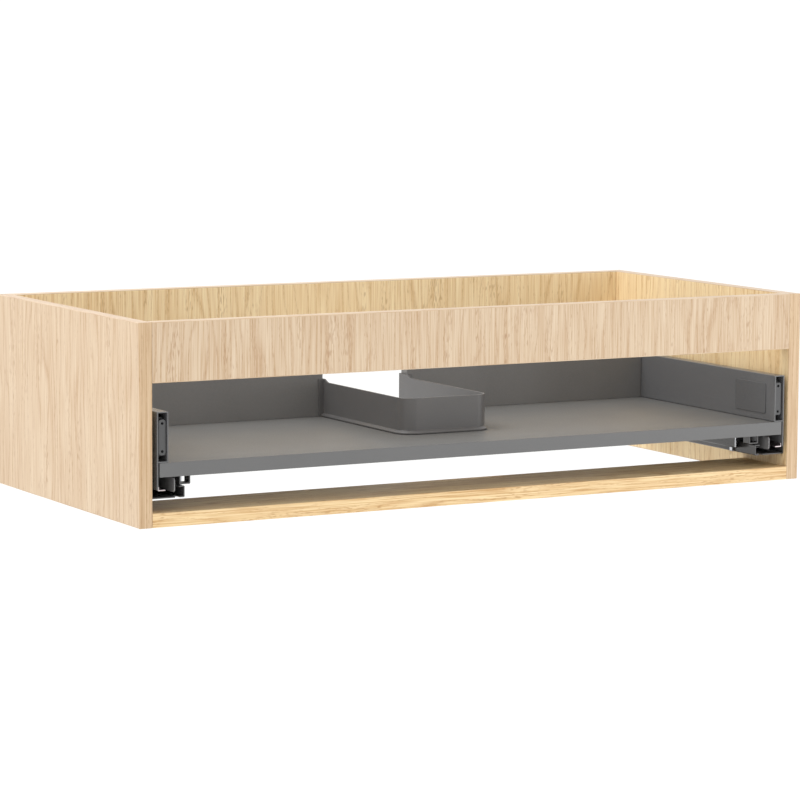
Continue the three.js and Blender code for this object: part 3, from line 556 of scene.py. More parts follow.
@dataclass(frozen=True)
class OakLaminate(Finish):
    """Light oak printed on melamine-faced board: plain fine grain with cathedral figure and dark pores."""

    grain: Grain = Grain.Z
    shift: tuple[float, float] = (0.0, 0.0)
    late_wood: str = "#b6926c"
    pore: str = "#9a6e46"
    pale: str = "#dbc6ab"
    ring_mm: float = 7.0
    figure: float = 9.0
    depth: float = 1.0
    relief: float = 0.12
    relief_mm: float = 0.1

    def place(self, tree: bpy.types.NodeTree) -> Socket:
        """Metres across the grain as x and along it as y, moved by this board's own shift.

        Args:
            tree: the material's node tree.

        Returns:
            The socket of the place.
        """
        coords = add(tree, "ShaderNodeTexCoord").outputs["Object"]
        along = self.grain.value
        across = tuple(1.0 - c for c in along)
        measured = [add(tree, "ShaderNodeVectorMath", {0: coords, 1: way}, operation="DOT_PRODUCT")
                    for way in (across, along)]
        flat = add(tree, "ShaderNodeCombineXYZ",
                   {"X": measured[0].outputs["Value"], "Y": measured[1].outputs["Value"]}).outputs["Vector"]
        moved = add(tree, "ShaderNodeVectorMath", {0: flat, 1: (*self.shift, 0.0)}, operation="ADD")
        return moved.outputs["Vector"]

    def streaks(self, tree: bpy.types.NodeTree, place: Socket, streak: Streak) -> Socket:
        """Adds a streak's noise.

        Args:
            tree: the material's node tree.
            place: the place on the board, from place().
            streak: the streak.

        Returns:
            The socket of the noise, from 0 to 1.
        """
        size = (1 / (streak.across_mm * MM), 1 / (streak.along_mm * MM), 1.0)
        moved = (streak.offset, 1.7 * streak.offset, 0.0)
        scaled = add(tree, "ShaderNodeMapping", {"Vector": place, "Scale": size, "Location": moved})
        levels = {"Vector": scaled.outputs["Vector"], "Scale": 1.0, "Detail": streak.detail,
                  "Roughness": 0.55}
        return add(tree, "ShaderNodeTexNoise", levels, noise_dimensions="2D").outputs["Fac"]

    def pattern(self, tree: bpy.types.NodeTree, shader: bpy.types.Node) -> None:
        """Colours, hollows and gloss of the print.

        The growth rings are steps of the place across the grain plus one slow field, so that they close
        into arches where the field peaks. Late wood darkens some rings, pale and dark threads run between
        them, and pores gather along the dark rings.

        Args:
            tree: the material's node tree.
            shader: its surface shader.
        """
        place = self.place(tree)
        across = add(tree, "ShaderNodeSeparateXYZ", {"Vector": place}).outputs["X"]
        field_value = self.streaks(tree, place, FIGURE)
        spread = add(tree, "ShaderNodeMath", {0: field_value, 1: self.figure}, operation="MULTIPLY")
        phase = add(tree, "ShaderNodeMath",
                    {0: across, 1: 1 / (self.ring_mm * MM), 2: spread.outputs[0]}, operation="MULTIPLY_ADD")
        ring = add(tree, "ShaderNodeMath", {0: phase.outputs[0], 1: 1.0}, operation="PINGPONG").outputs[0]
        zone = self.streaks(tree, place, ZONE)
        gathered = self.streaks(tree, place, GATHERING)
        fibre = self.streaks(tree, place, FIBRE)
        thread = self.streaks(tree, place, THREAD)
        cloud = self.streaks(tree, place, CLOUD)
        small = self.streaks(tree, place, SMALL_PORE)
        large = self.streaks(tree, place, LARGE_PORE)
        rings, flecks, strong = [
            add(tree, "ShaderNodeMath", {0: one, 1: other}, operation="MULTIPLY").outputs[0]
            for one, other in ((ring, zone), (small, ring), (large, gathered))]
        colour = layered(tree, self.pale, [
            Layer(fibre, 0.32, 0.66, 0.75 * self.depth, self.colour),
            Layer(cloud, 0.35, 0.65, 0.24 * self.depth, self.late_wood),
            Layer(rings, 0.28, 0.56, 0.42 * self.depth, self.late_wood),
            Layer(thread, 0.50, 0.74, 0.50 * self.depth, self.late_wood),
            Layer(thread, 0.46, 0.24, 0.55 * self.depth, self.pale),
            Layer(flecks, 0.42, 0.68, 0.34 * self.depth, self.pore),
            Layer(strong, 0.40, 0.50, 0.40 * self.depth, self.pore),
        ])
        tree.links.new(colour, shader.inputs["Base Color"])

        hollow = add(tree, "ShaderNodeMath", {0: flecks, 1: -1.0, 2: fibre}, operation="MULTIPLY_ADD")
        bump = add(tree, "ShaderNodeBump",
                   {"Height": hollow.outputs[0], "Strength": self.relief, "Distance": self.relief_mm * MM})
        tree.links.new(bump.outputs["Normal"], shader.inputs["Normal"])
        rough = add(tree, "ShaderNodeMapRange",
                    {"Value": fibre, "To Min": self.roughness - 0.05, "To Max": self.roughness + 0.06})
        tree.links.new(rough.outputs["Result"], shader.inputs["Roughness"])


@dataclass(frozen=True)
class FineGrained(Finish):
    """A plain surface with a fine grit in its height, tone and gloss, as on powder coat or plastic."""

    second: str = "#000000"
    grit_mm: float = 1.5
    cloud_mm: float = 60.0
    tone: float = 0.25
    bump: float = 0.1
    bump_mm: float = 0.1
    stretch: tuple[float, float, float] = (1.0, 1.0, 1.0)
    coat: float = 0.0
    glow: float = 0.0

    def pattern(self, tree: bpy.types.NodeTree, shader: bpy.types.Node) -> None:
        """Fine noise moves the height and the gloss and, with a slow cloud, the tone.

        Args:
            tree: the material's node tree.
            shader: its surface shader.
        """
        coords = add(tree, "ShaderNodeTexCoord").outputs["Object"]
        sized = add(tree, "ShaderNodeMapping", {"Vector": coords, "Scale": self.stretch}).outputs["Vector"]
        fine = add(tree, "ShaderNodeTexNoise",
                   {"Vector": sized, "Scale": 1 / (self.grit_mm * MM), "Detail": 2.0, "Roughness": 0.6})
        slow = add(tree, "ShaderNodeTexNoise",
                   {"Vector": sized, "Scale": 1 / (self.cloud_mm * MM), "Detail": 2.0})
        both = add(tree, "ShaderNodeMath", {0: fine.outputs["Fac"], 1: slow.outputs["Fac"]},
                   operation="MULTIPLY")
        colour = layered(tree, self.colour, [Layer(both.outputs[0], 0.12, 0.38, self.tone, self.second)])
        tree.links.new(colour, shader.inputs["Base Color"])
        rough = add(tree, "ShaderNodeMapRange",
                    {"Value": fine.outputs["Fac"], "From Min": 0.3, "From Max": 0.7,
                     "To Min": self.roughness - 0.04, "To Max": self.roughness + 0.05})
        tree.links.new(rough.outputs["Result"], shader.inputs["Roughness"])
        bump = add(tree, "ShaderNodeBump",
                   {"Height": fine.outputs["Fac"], "Strength": self.bump, "Distance": self.bump_mm * MM})
        tree.links.new(bump.outputs["Normal"], shader.inputs["Normal"])
        shader.inputs["Coat Weight"].default_value = self.coat
        shader.inputs["Emission Color"].default_value = linear(self.colour)
        shader.inputs["Emission Strength"].default_value = self.glow


# Printed oak melamine, satin pressed: pale ground, straight fine grain, a few arches, small brown pores.
# The insides of the boards are a lighter, warmer, yellower copy of the same print: painted bounce light,
# standing in for the light that the oak boards throw on one another inside. The bottom rail is a more
# strongly figured print.
OAK = {"roughness": 0.48, "colour": "#ceb494"}
# Painted bounce light: the inside copy of the print is lighter and warmer than the outside one.
WARM = {"colour": "#eccd9c", "pale": "#fae4b9", "late_wood": "#d4aa70", "pore": "#a97b45"}
STRONG = {"colour": "#e3c28e", "pale": "#f4daaa", "late_wood": "#b98545", "pore": "#a56f34",
          "figure": 12.0, "depth": 1.2}
PANEL_OUTER_OAK = OakLaminate("oak_laminate_panel_outside", **OAK, shift=(0.0, 0.0))
PANEL_INNER_OAK = OakLaminate("oak_laminate_panel_inside", **{**OAK, **WARM}, shift=(1.37, 0.41))
RAIL_OUTER_OAK = OakLaminate("oak_laminate_rail_outside", **OAK, shift=(2.61, 0.83))
RAIL_INNER_OAK = OakLaminate("oak_laminate_rail_inside", **{**OAK, **WARM}, shift=(4.19, 0.27))
BOTTOM_RAIL_OAK = OakLaminate("oak_laminate_bottom_rail", **{**OAK, **STRONG}, grain=Grain.X,
                              shift=(5.03, 0.61))

# Printed ABS edge band, glossier than the face, with its grain along the edge and a slightly pinker ground
BAND = {"roughness": 0.4, "ring_mm": 3.4, "figure": 3.0}
BAND_ALONG_X = OakLaminate("oak_edge_band_along_x", "#dcc3a2", **BAND, grain=Grain.X, shift=(0.3, 7.1))
BAND_ALONG_Y = OakLaminate("oak_edge_band_along_y", "#dcc3a8", **BAND, grain=Grain.Y, shift=(0.7, 3.3))
BAND_ALONG_Z = OakLaminate("oak_edge_band_along_z", "#c8aa84", **BAND, grain=Grain.Z, shift=(0.9, 5.9),
                           pale="#d8bd9b", late_wood="#b08b62")
WARM_BAND_ALONG_X = OakLaminate("warm_oak_edge_band_along_x", **{**BAND, **STRONG}, grain=Grain.X,
                                shift=(0.5, 9.7))

# Fluted beech dowel: pale pinkish wood, matt from sawing
BEECH = OakLaminate("beech_dowel_wood", "#d9b98c", 0.7, grain=Grain.X, pale="#ead0a8", late_wood="#c69c68",
                    ring_mm=2.0, figure=2.0)

# Grey melamine-faced board: dull pearl-textured paper under resin, so it mirrors only at a low angle
GREY_MELAMINE = FineGrained("grey_melamine", "#737270", 0.42, second="#63615e", grit_mm=1.8, bump=0.25)
# The drawer backs get a slightly lighter copy of the same grey: painted light, lifting them where the drawer
# shades them.
GREY_BACK = FineGrained("grey_melamine_drawer_back", "#777675", 0.45, second="#605f5d", grit_mm=1.8,
                        bump=0.25)
# Grey ABS band on the drawer bottom's front edge: smoother than the face, with a soft even sheen
GREY_BAND = FineGrained("grey_abs_edge_band", "#696969", 0.36, second="#606060", grit_mm=1.2, bump=0.12)
# Anthracite powder coat: fine orange peel, satin enough to mirror the oak at a low angle
POWDER_COAT = FineGrained("anthracite_powder_coat", "#686869", 0.27, second="#5e5e60", grit_mm=0.9,
                          bump=0.2)
# Glass-filled polypropylene, moulded in a spark-eroded tool: dull, with a fine even grit
MOULDED_GREY = FineGrained("moulded_grey_polypropylene", "#636262", 0.36, second="#4c4b4b", grit_mm=0.8,
                           bump=0.3)
BRACKET_GREY = FineGrained("moulded_bracket_grey", "#4f4f50", 0.45, second="#4d4e4f", grit_mm=0.8, bump=0.3)
# The cover cap is moulded against a smoother tool, so it has more sheen than the steel round it
CAP_GREY = FineGrained("moulded_cap_grey", "#616162", 0.25, second="#575758", grit_mm=0.7, bump=0.12)
# Acetal: black, dense, slightly waxy
BLACK_ACETAL = FineGrained("black_acetal", "#1b1b1d", 0.42, second="#28282a", grit_mm=0.9, bump=0.1)
# Rolled steel strip under a dark baked lacquer: rolling lines still show along the rail in its satin gloss
RUNNER_STEEL = FineGrained("dark_lacquered_rolled_steel", "#4c4b4b", 0.3, second="#3b3b3b", grit_mm=1.0,
                           tone=0.5, bump=0.08, stretch=(1.0, 0.06, 1.0), coat=0.3)
# The middle rail is smoother under the same lacquer, so that it mirrors its surroundings in a dark gloss.
# Its grey is also set lighter than the fixed rail's: painted sheen, standing in for its glossy highlights.
MIDDLE_STEEL = FineGrained("glossy_lacquered_rolled_steel", "#7a7979", 0.18, second="#676666", grit_mm=1.0,
                           tone=0.5, bump=0.04, stretch=(1.0, 0.06, 1.0), coat=0.6)
# Bright zinc plate: bluish white metal with a faint cloudy crystal
BRIGHT_ZINC = FineGrained("bright_zinc_plate", "#d3d4d8", 0.24, metallic=1.0, second="#b4b7bd", grit_mm=1.5,
                          tone=0.6, bump=0.05)
# Light passivated zinc with a faint pink: the strip under each drawer side
PINK_ZINC = FineGrained("light_passivated_zinc", "#cfc4c4", 0.32, metallic=1.0, second="#b5abad",
                        grit_mm=1.5, tone=0.6, bump=0.05)
# Drawn spring wire, nickel bright: thin white glints along each turn
SPRING_WIRE = FineGrained("bright_drawn_spring_wire", "#dcdde0", 0.16, metallic=1.0, second="#bfc1c6",
                          grit_mm=0.5, tone=0.4, bump=0.03)
# Matt white acrylic lit a little from below: no gloss, only a trace of tone, and no horizon against white
STUDIO_FLOOR = FineGrained("matt_white_floor", "#fdfdfc", 0.9, second="#fafaf8", grit_mm=4.0, bump=0.0,
                           glow=0.12)


# ---------------------------------------------------------------------------------------------------
# Pieces
# ---------------------------------------------------------------------------------------------------

SMOOTH_BELOW = math.radians(40)
WELD = 1e-7


def mesh_of(shape: Shape, name: str) -> bpy.types.Mesh:
    """Makes a mesh in metres, with its doubles merged and its faces turned out.

    Args:
        shape: the surface, in millimetres.
        name: the mesh's name.

    Returns:
        The mesh.
    """
    mesh = bpy.data.meshes.new(name)
    mesh.from_pydata((shape.points * MM).tolist(), [], shape.faces)
    work = bmesh.new()
    work.from_mesh(mesh)
    bmesh.ops.remove_doubles(work, verts=work.verts, dist=WELD)
    bmesh.ops.recalc_face_normals(work, faces=work.faces)
    work.to_mesh(mesh)
    work.free()
    return mesh


def cut_away(made: bpy.types.Object, cutter: Shape) -> None:
    """Takes a closed surface's inside away from an object's mesh.

    Args:
        made: the object.
        cutter: the closed surface.
    """
    tool = bpy.data.objects.new("cutter", mesh_of(cutter, "cutter"))
    bpy.context.scene.collection.objects.link(tool)
    cutting = made.modifiers.new("cut", "BOOLEAN")
    cutting.object = tool
    cutting.operation = "DIFFERENCE"
    cutting.solver = "EXACT"
    seen = made.evaluated_get(bpy.context.evaluated_depsgraph_get())
    mesh = bpy.data.meshes.new_from_object(seen)
    made.modifiers.clear()
    made.data = mesh
    bpy.data.objects.remove(tool)


def piece(name: str, shape: Shape, finish: Finish, body: str | None,
          stands_for: Sequence[str] = (), cut: Shape | None = None) -> bpy.types.Object:
    """Makes one finished piece.

    Args:
        name: the piece's name.
        shape: its closed surface, in millimetres in the frame's coordinates.
        finish: its finish.
        body: the body that carries it, or None for a spring, which rides no body.
        stands_for: nodes that it is shown in place of.
        cut: a closed surface whose inside is taken away, for holes across the shape's own direction. The
            shape is then one closed surface, and not several that overlap.

    Returns:
        The object.
    """
    made = bpy.data.objects.new(name, mesh_of(shape, name))
    bpy.context.scene.collection.objects.link(made)
    if cut is not None:
        cut_away(made, cut)
    mesh = made.data
    mesh.polygons.foreach_set("use_smooth", [True] * len(mesh.polygons))
    mesh.set_sharp_from_angle(angle=SMOOTH_BELOW)
    mesh.materials.clear()
    mesh.materials.append(finish.material())
    weighted = made.modifiers.new("flat faces stay flat", "WEIGHTED_NORMAL")
    weighted.keep_sharp = True
    if body is not None:
        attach(made, body)
    if stands_for:
        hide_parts(*stands_for)
    log.info("%s: %d faces on %s", name, len(mesh.polygons), body or "two bodies")
    return made


def dress(nodes: Sequence[str], finish: Finish) -> None:
    """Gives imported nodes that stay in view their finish.

    Args:
        nodes: the nodes' names.
        finish: their finish.
    """
    for name in nodes:
        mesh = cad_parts[name].data
        mesh.materials.clear()
        mesh.materials.append(finish.material())
    log.info("%s dressed as %s", ", ".join(nodes), finish.name)


def extent(node: str) -> tuple[Array, Array]:
    """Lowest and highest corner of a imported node, in millimetres."""
    low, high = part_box(node)
    return np.array(low) / MM, np.array(high) / MM


# ---------------------------------------------------------------------------------------------------
# Carcass
# ---------------------------------------------------------------------------------------------------


@dataclass
class Board:
    """A faced board with a band glued on each of its bare edges. Sizes in millimetres.

    The outermost millimetre is a leaf of its own, because the inside faces carry a lighter, warmer copy of
    the print: painted bounce light.
    """

    node: str
    thickness_axis: Axis
    finish: Finish
    banded: tuple[tuple[Axis, tuple[str, ...], Finish], ...]
    outside: Finish | None = None
    outward: int = 1
    slot: str = "oak_board"
    leaf: float = 1.0
    band: float = 1.0
    band_round: float = 0.75
    band_arris: float = 0.1
    core_corner: float = 0.15
    joint_round: float = 0.12

    def core(self, leaf: bool = False) -> Shape:
        """The faced board, as much smaller at each banded edge as the band is thick.

        Args:
            leaf: whether to make the thin outside leaf and not the board behind it.

        Returns:
            The closed surface.
        """
        low, high = extent(self.node)
        for edge_axis, ends, _ in self.banded:
            low[edge_axis.value] += self.band * ("low" in ends)
            high[edge_axis.value] -= self.band * ("high" in ends)
        flat = [axis for axis in range(3) if axis != self.thickness_axis.value]
        near, far = low[self.thickness_axis.value], high[self.thickness_axis.value]
        if self.outward > 0:
            split = far - self.leaf
            span = (split, far) if leaf else (near, split)
        else:
            split = near + self.leaf
            span = (near, split) if leaf else (split, far)
        outline = rectangle(low[flat], high[flat], self.core_corner)
        return prism(outline, span, self.thickness_axis, self.joint_round)

    def strip(self, edge_axis: Axis, end: str) -> Shape:
        """One band: a thin section, round on its outside corners, carried along the edge.

        Args:
            edge_axis: the axis across which the banded edges face.
            end: "low" or "high", the edge's side along that axis.

        Returns:
            The closed surface.
        """
        low, high = extent(self.node)
        run = next(axis for axis in Axis if axis not in (edge_axis, self.thickness_axis))
        for other_axis, ends, _ in self.banded:
            if other_axis is run and self.runs_through(other_axis):
                low[run.value] += self.band * ("low" in ends)
                high[run.value] -= self.band * ("high" in ends)
        edge = edge_axis.value
        if end == "low":
            high[edge] = low[edge] + self.band
        else:
            low[edge] = high[edge] - self.band
        flat = [axis for axis in range(3) if axis != run.value]
        outer = {(0, "low"): (0, 3), (0, "high"): (1, 2), (1, "low"): (0, 1), (1, "high"): (2, 3)}
        radii = np.full(4, self.joint_round)
        radii[list(outer[flat.index(edge), end])] = self.band_round
        section = rectangle(low[flat], high[flat], radii, steps=6)
        return prism(section, (low[run.value], high[run.value]), run, self.band_arris)

    def runs_through(self, edge_axis: Axis) -> bool:
        """Whether the bands of this edge axis are the ones that run past the others' ends."""
        return self.banded[0][0] is edge_axis

    def build(self) -> None:
        """Makes the board and its bands."""
        piece(f"{self.node}_board", self.core(), self.finish, "cabinet", (self.node,))
        piece(f"{self.node}_leaf", self.core(True), self.outside or self.finish, "cabinet")
        for edge_axis, ends, band_finish in self.banded:
            strips = joined([self.strip(edge_axis, end) for end in ends])
            piece(f"{self.node}_band_{edge_axis.name.lower()}", strips, band_finish, "cabinet")


PANEL_BANDS = ((Axis.Y, ("low", "high"), BAND_ALONG_Z), (Axis.Z, ("low", "high"), BAND_ALONG_Y))
RAIL_BANDS = ((Axis.Z, ("low", "high"), BAND_ALONG_X),)


@dataclass
class Carcass:
    """Two side panels joined by an apron, a back rail and a bottom rail on hidden dowels."""

    boards: tuple[Board, ...] = (
        Board("side_panel_left", Axis.X, PANEL_INNER_OAK, PANEL_BANDS, PANEL_OUTER_OAK, -1),
        Board("side_panel_right", Axis.X, PANEL_INNER_OAK, PANEL_BANDS, PANEL_OUTER_OAK, 1),
        Board("apron", Axis.Y, RAIL_INNER_OAK, RAIL_BANDS, RAIL_OUTER_OAK, -1),
        Board("back_rail", Axis.Y, RAIL_INNER_OAK, RAIL_BANDS, RAIL_OUTER_OAK, 1),
        Board("bottom_rail", Axis.Z, BOTTOM_RAIL_OAK, ((Axis.Y, ("low", "high"), WARM_BAND_ALONG_X),)),
    )

    def build(self) -> None:
        """Makes the boards and dresses the dowels."""
        for board in self.boards:
            board.build()
        dress([name for name in sorted(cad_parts) if name.startswith("dowel_")], BEECH)


# ---------------------------------------------------------------------------------------------------
# Drawer boards and trap surround
# ---------------------------------------------------------------------------------------------------


@dataclass
class TrapSurround:
    """A U-shaped moulding round the cut-out for the basin's trap. Sizes in millimetres."""

    wall: float = 2.5
    wall_radii: tuple[float, ...] = (0.2, 0.2, 0.7, 0.7)
    half_width: float = 66.5
    corner: float = 20.0
    corner_points: int = 13
    leg_points: int = 6
    flange: float = 4.0
    flange_height: float = 4.5
    flange_rim: float = 1.6
    flange_radii: tuple[float, ...] = (0.1, 0.1, 0.1, 0.3, 0.6, 0.8, 0.6, 0.05)
    root: float = 0.5
    root_depth: float = 20.0
    undercut: float = 0.8
    undercut_in: tuple[float, float] = (1.2, 2.0)
    seat: float = 0.05
    step_length: float = 2.0
    step_slope: float = 9.0
    step_height: float = 4.0
    step_margins: tuple[float, float] = (3.0, 2.0)
    channel_wall: float = 2.0
    channel_bite: float = 0.4
    channel_radii: tuple[float, ...] = (0.3, 0.6, 0.35, 0.35, 0.35, 0.35, 0.6, 0.3)
    channel_arris: float = 0.3
    gap: float = 0.3

    def __post_init__(self) -> None:
        """Takes the levels and the front and back planes from the frame."""
        low, high = extent("trap_surround")
        back_low, back_high = extent("drawer_back_left")
        self.floor = extent("drawer_bottom")[1][2]
        self.base, self.rear_top = low[2], high[2]
        self.top = self.rear_top - self.step_height
        self.front = low[1] + self.flange
        self.back_face, self.back_plane = back_low[1], back_high[1]
        self.reach = high[0]
        self.channel_front = self.back_face - self.gap - self.channel_wall
        self.step = self.channel_front - self.step_length

    def path(self, out: float, back: float) -> tuple[Array, Array]:
        """The U from the left rear end round to the right one, with the outward direction at each point.

        Straight legs join two quarter circles, whose points are the corner's centre plus its radius
        times (cos t, sin t).

        Args:
            out: how far the path lies outside the wall's inner face.
            back: where the legs end, along y.

        Returns:
            Points and outward directions.
        """
        inner = self.corner - self.wall
        centre = np.array([self.half_width - self.corner, self.front + self.corner])
        t = np.linspace(-math.pi / 2, 0, self.corner_points)
        spokes = np.stack([np.cos(t), np.sin(t)], axis=1)
        arc = centre + spokes * (inner + out)
        ahead, behind = self.step_margins
        marks = np.array([self.step - self.step_slope - ahead, self.step - self.step_slope, self.step,
                          self.step + behind, back])
        legs = np.linspace(centre[1], self.step - 2 * self.step_slope, self.leg_points)[1:]
        y = np.concatenate([legs, marks[marks <= back]])
        leg = np.stack([np.full(len(y), centre[0] + inner + out), y], axis=1)
        right = np.vstack([arc, leg])
        way = np.vstack([spokes, np.tile([1.0, 0.0], (len(y), 1))])
        mirror = np.array([-1.0, 1.0])
        return np.vstack([(right * mirror)[::-1], right]), np.vstack([(way * mirror)[::-1], way])

    def top_at(self, y: Array) -> Array:
        """Height of the wall's edge: level, then a short slope up to the rear part."""
        return np.interp(y, [self.step - self.step_slope, self.step], [self.top, self.rear_top])

    def swept(self, profile: Array, back: float, follows_top: bool) -> Shape:
        """A closed profile of (out, up) carried round the U.

        Args:
            profile: the profile; out is measured from the wall's inner face.
            back: where the legs end, along y.
            follows_top: whether the profile's upper half rises with the wall's edge.

        Returns:
            The closed surface.
        """
        inner, way = self.path(0.0, back)
        flat = inner[:, None] + way[:, None] * profile[None, :, :1]
        up = np.tile(profile[:, 1], (len(inner), 1))
        if follows_top:
            upper = profile[:, 1] > (self.base + self.top) / 2
            up = up + upper[None] * (self.top_at(inner[:, 1]) - self.top)[:, None]
        points = np.concatenate([flat, up[..., None]], axis=2).reshape(-1, 3)
        around = len(profile)
        caps = tessellate_polygon([[Vector((p[0], p[1], 0.0)) for p in profile]])
        last = (len(inner) - 1) * around
        ends = [tuple(cap) for cap in caps] + [tuple(i + last for i in cap)[::-1] for cap in caps]
        return Shape(points, grid_faces(len(inner), around) + ends)

    def channel(self, side: Side) -> Shape:
        """The clip that grips the end of a drawer back from three sides.

        Args:
            side: the drawer back's side.

        Returns:
            The closed surface.
        """
        out, wall = self.reach, self.half_width - self.wall + self.channel_bite
        end = self.half_width
        face, rear = self.back_face - self.gap, self.back_plane + self.gap
        corners = np.array([(wall, self.channel_front), (out, self.channel_front), (out, face), (end, face),
                            (end, rear), (out, rear), (out, rear + self.channel_wall),
                            (wall, rear + self.channel_wall)])
        outline = filleted(corners, self.channel_radii) * [side.value, 1]
        return prism(outline, (self.floor + self.seat, self.rear_top), Axis.Z, self.channel_arris)

    def flange_section(self) -> Array:
        """The flange from the wall's root out to its rim and back up, with a groove beneath the rim.

        Returns:
            Its outline in (distance outside the wall's inner face, z), counter-clockwise.
        """
        under, foot = self.floor + self.seat, self.floor + self.undercut
        shoulder = self.floor + self.flange_height
        rim = self.wall + self.flange
        inwards, outwards = self.undercut_in
        corners = [(self.wall - self.root, under), (self.wall + inwards, under),
                   (self.wall + outwards, foot), (rim, foot), (rim, foot + self.flange_rim),
                   (self.wall + self.flange_rim, shoulder - self.gap), (self.wall, shoulder + self.root),
                   (self.wall - self.root, self.top - self.root_depth)]
        return counter_clockwise(filleted(np.array(corners), self.flange_radii))

    def build(self) -> None:
        """Makes the moulding as one piece."""
        wall = rectangle((0.0, self.base), (self.wall, self.top), self.wall_radii, steps=5)
        shapes = [
            self.swept(counter_clockwise(wall), self.back_plane, True),
            self.swept(self.flange_section(), self.channel_front, False),
            self.channel(Side.LEFT),
            self.channel(Side.RIGHT),
        ]
        piece("trap_surround_moulding", joined(shapes), MOULDED_GREY, "drawer",
              ("trap_surround",))


@dataclass
class DrawerBoards:
    """The drawer's bottom, its two backs and the trap surround between them. Sizes in millimetres."""

    cut_half_width: float = 67.0
    cut_front: float = 103.5
    cut_corner: float = 20.5
    band: float = 0.8
    band_round: float = 0.55
    band_inner_round: float = 0.08
    band_arris: float = 0.2
    front_corner: float = 0.1
    rear_corner: float = 0.4
    arris: float = 0.3
    back_corner: float = 0.4
    back_arris: float = 0.5
    surround: TrapSurround = field(default_factory=TrapSurround)

    def bottom(self) -> tuple[Shape, Shape]:
        """The bottom board, cut out at the back for the trap, and the band on its front edge.

        Returns:
            The closed surfaces of the board and of the band.
        """
        low, high = extent("drawer_bottom")
        front = low[1] + self.band
        cut = low[1] + self.cut_front
        half = self.cut_half_width
        corners = np.array([(low[0], front), (high[0], front), (high[0], high[1]), (half, high[1]),
                            (half, cut), (-half, cut), (-half, high[1]), (low[0], high[1])])
        radii = np.repeat([self.front_corner, self.rear_corner, self.cut_corner, self.rear_corner], 2)
        board = prism(filleted(corners, radii, steps=10), (low[2], high[2]), Axis.Z, self.arris)
        round_front = [self.band_round, self.band_inner_round, self.band_inner_round, self.band_round]
        section = rectangle((low[1], low[2]), (front, high[2]), round_front, steps=6)
        return board, prism(section, (low[0], high[0]), Axis.X, self.band_arris)

    def build(self) -> None:
        """Makes the boards and the surround."""
        board, band = self.bottom()
        piece("drawer_bottom_board", board, GREY_MELAMINE, "drawer", ("drawer_bottom",))
        piece("drawer_bottom_band", band, GREY_BAND, "drawer")
        for side in Side:
            node = f"drawer_back_{side.word}"
            low, high = extent(node)
            outline = rectangle(low[:2], high[:2], self.back_corner)
            back = prism(outline, (low[2], high[2]), Axis.Z, self.back_arris)
            piece(f"{node}_board", back, GREY_BACK, "drawer", (node,))
        self.surround.build()


# ---------------------------------------------------------------------------------------------------
# Drawer sides, runners and soft closers
# ---------------------------------------------------------------------------------------------------


@dataclass
class Hardware:
    """The fittings of one side, drawn from the panel's inner face inwards and from the front edge back.

    A point there is (a, y, z): a from the panel's inner face towards the middle, y from the front edge,
    z above the footprint, in millimetres.
    """

    side: Side
    sheet: float = 1.5
    bend: float = 0.6
    arris: float = 0.2

    def __post_init__(self) -> None:
        """Takes the panel's inner face and the front edge from the frame."""
        low, high = extent(f"side_panel_{self.side.word}")
        self.inner_face = min(abs(low[0]), abs(high[0]))
        self.front = low[1]

    def node(self, stem: str) -> str:
        """The name of this side's node."""
        return f"{stem}_{self.side.word}"

    def body(self, stem: str | None) -> str | None:
        """The name of a body: the cabinet and the drawer are shared, and the others belong to one side."""
        return stem if stem in (None, "cabinet", "drawer") else self.node(stem)

    def local(self, stem: str) -> tuple[Array, Array]:
        """Lowest and highest (a, y, z) of this side's node."""
        low, high = extent(self.node(stem))
        across = np.sort(self.inner_face - self.side.value * np.array([low[0], high[0]]))
        return (np.array([across[0], low[1] - self.front, low[2]]),
                np.array([across[1], high[1] - self.front, high[2]]))

    def placed(self, shape: Shape) -> Shape:
        """A surface drawn in (a, y, z), in the frame's own coordinates."""
        a, y, z = shape.points.T
        points = np.stack([self.side.value * (self.inner_face - a), y + self.front, z], axis=1)
        return Shape(points, shape.faces)

    def make(self, stem: str, shapes: Sequence[Shape], finish: Finish, body: str | None, slot: str,
             stands_for: Sequence[str] = (), cut: Shape | None = None) -> bpy.types.Object:
        """Makes a piece of this side. Bodies and nodes are given by their stems, without the side's word.

        Args:
            stem: the piece's stem.
            shapes: closed surfaces drawn in (a, y, z).
            finish: its finish.
            body: the body that carries it, or None for a spring.
            slot: a material slot's name; not used.
            stands_for: nodes that it is shown in place of.
            cut: a closed surface drawn in (a, y, z) whose inside is taken away.

        Returns:
            The object.
        """
        rider = self.body(body)
        cutter = None if cut is None else self.placed(cut)
        nodes = [self.node(stem) for stem in stands_for]
        return piece(self.node(stem), self.placed(joined(shapes)), finish, rider, nodes, cutter)

    def profile(self, path: Sequence[Sequence[float]], span: Sequence[float]) -> Shape:
        """A folded sheet of (a, z) carried along y."""
        return prism(folded(path, self.sheet, self.bend), span, Axis.Y, self.arris)

    def spring(self, stem: str, ends: Sequence[Sequence[float]], radius: float, wire: float, turns: float,
               fixed: str, moving: str) -> None:
        """Makes a coil spring between its two ends, baked in place and carried by no body.

        Args:
            stem: the spring's node.
            ends: the first and last end of its centre line, in (a, y, z).
            radius: from the centre line to the middle of the wire.
            wire: the wire's radius.
            turns: number of turns.
            fixed: the body at its first end.
            moving: the body at its last end.
        """
        shape = coil(ends[0], ends[1], radius, wire, turns)
        made = self.make(f"{stem}_wire", [shape], SPRING_WIRE, None, "spring_steel", (stem,))
        self.body(fixed)
        self.body(moving)
        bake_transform(made)


# The middle line of a sheet's section, and the two corners of a block
Path = tuple[tuple[float, float], ...]
Block = tuple[tuple[float, float, float], tuple[float, float, float]]


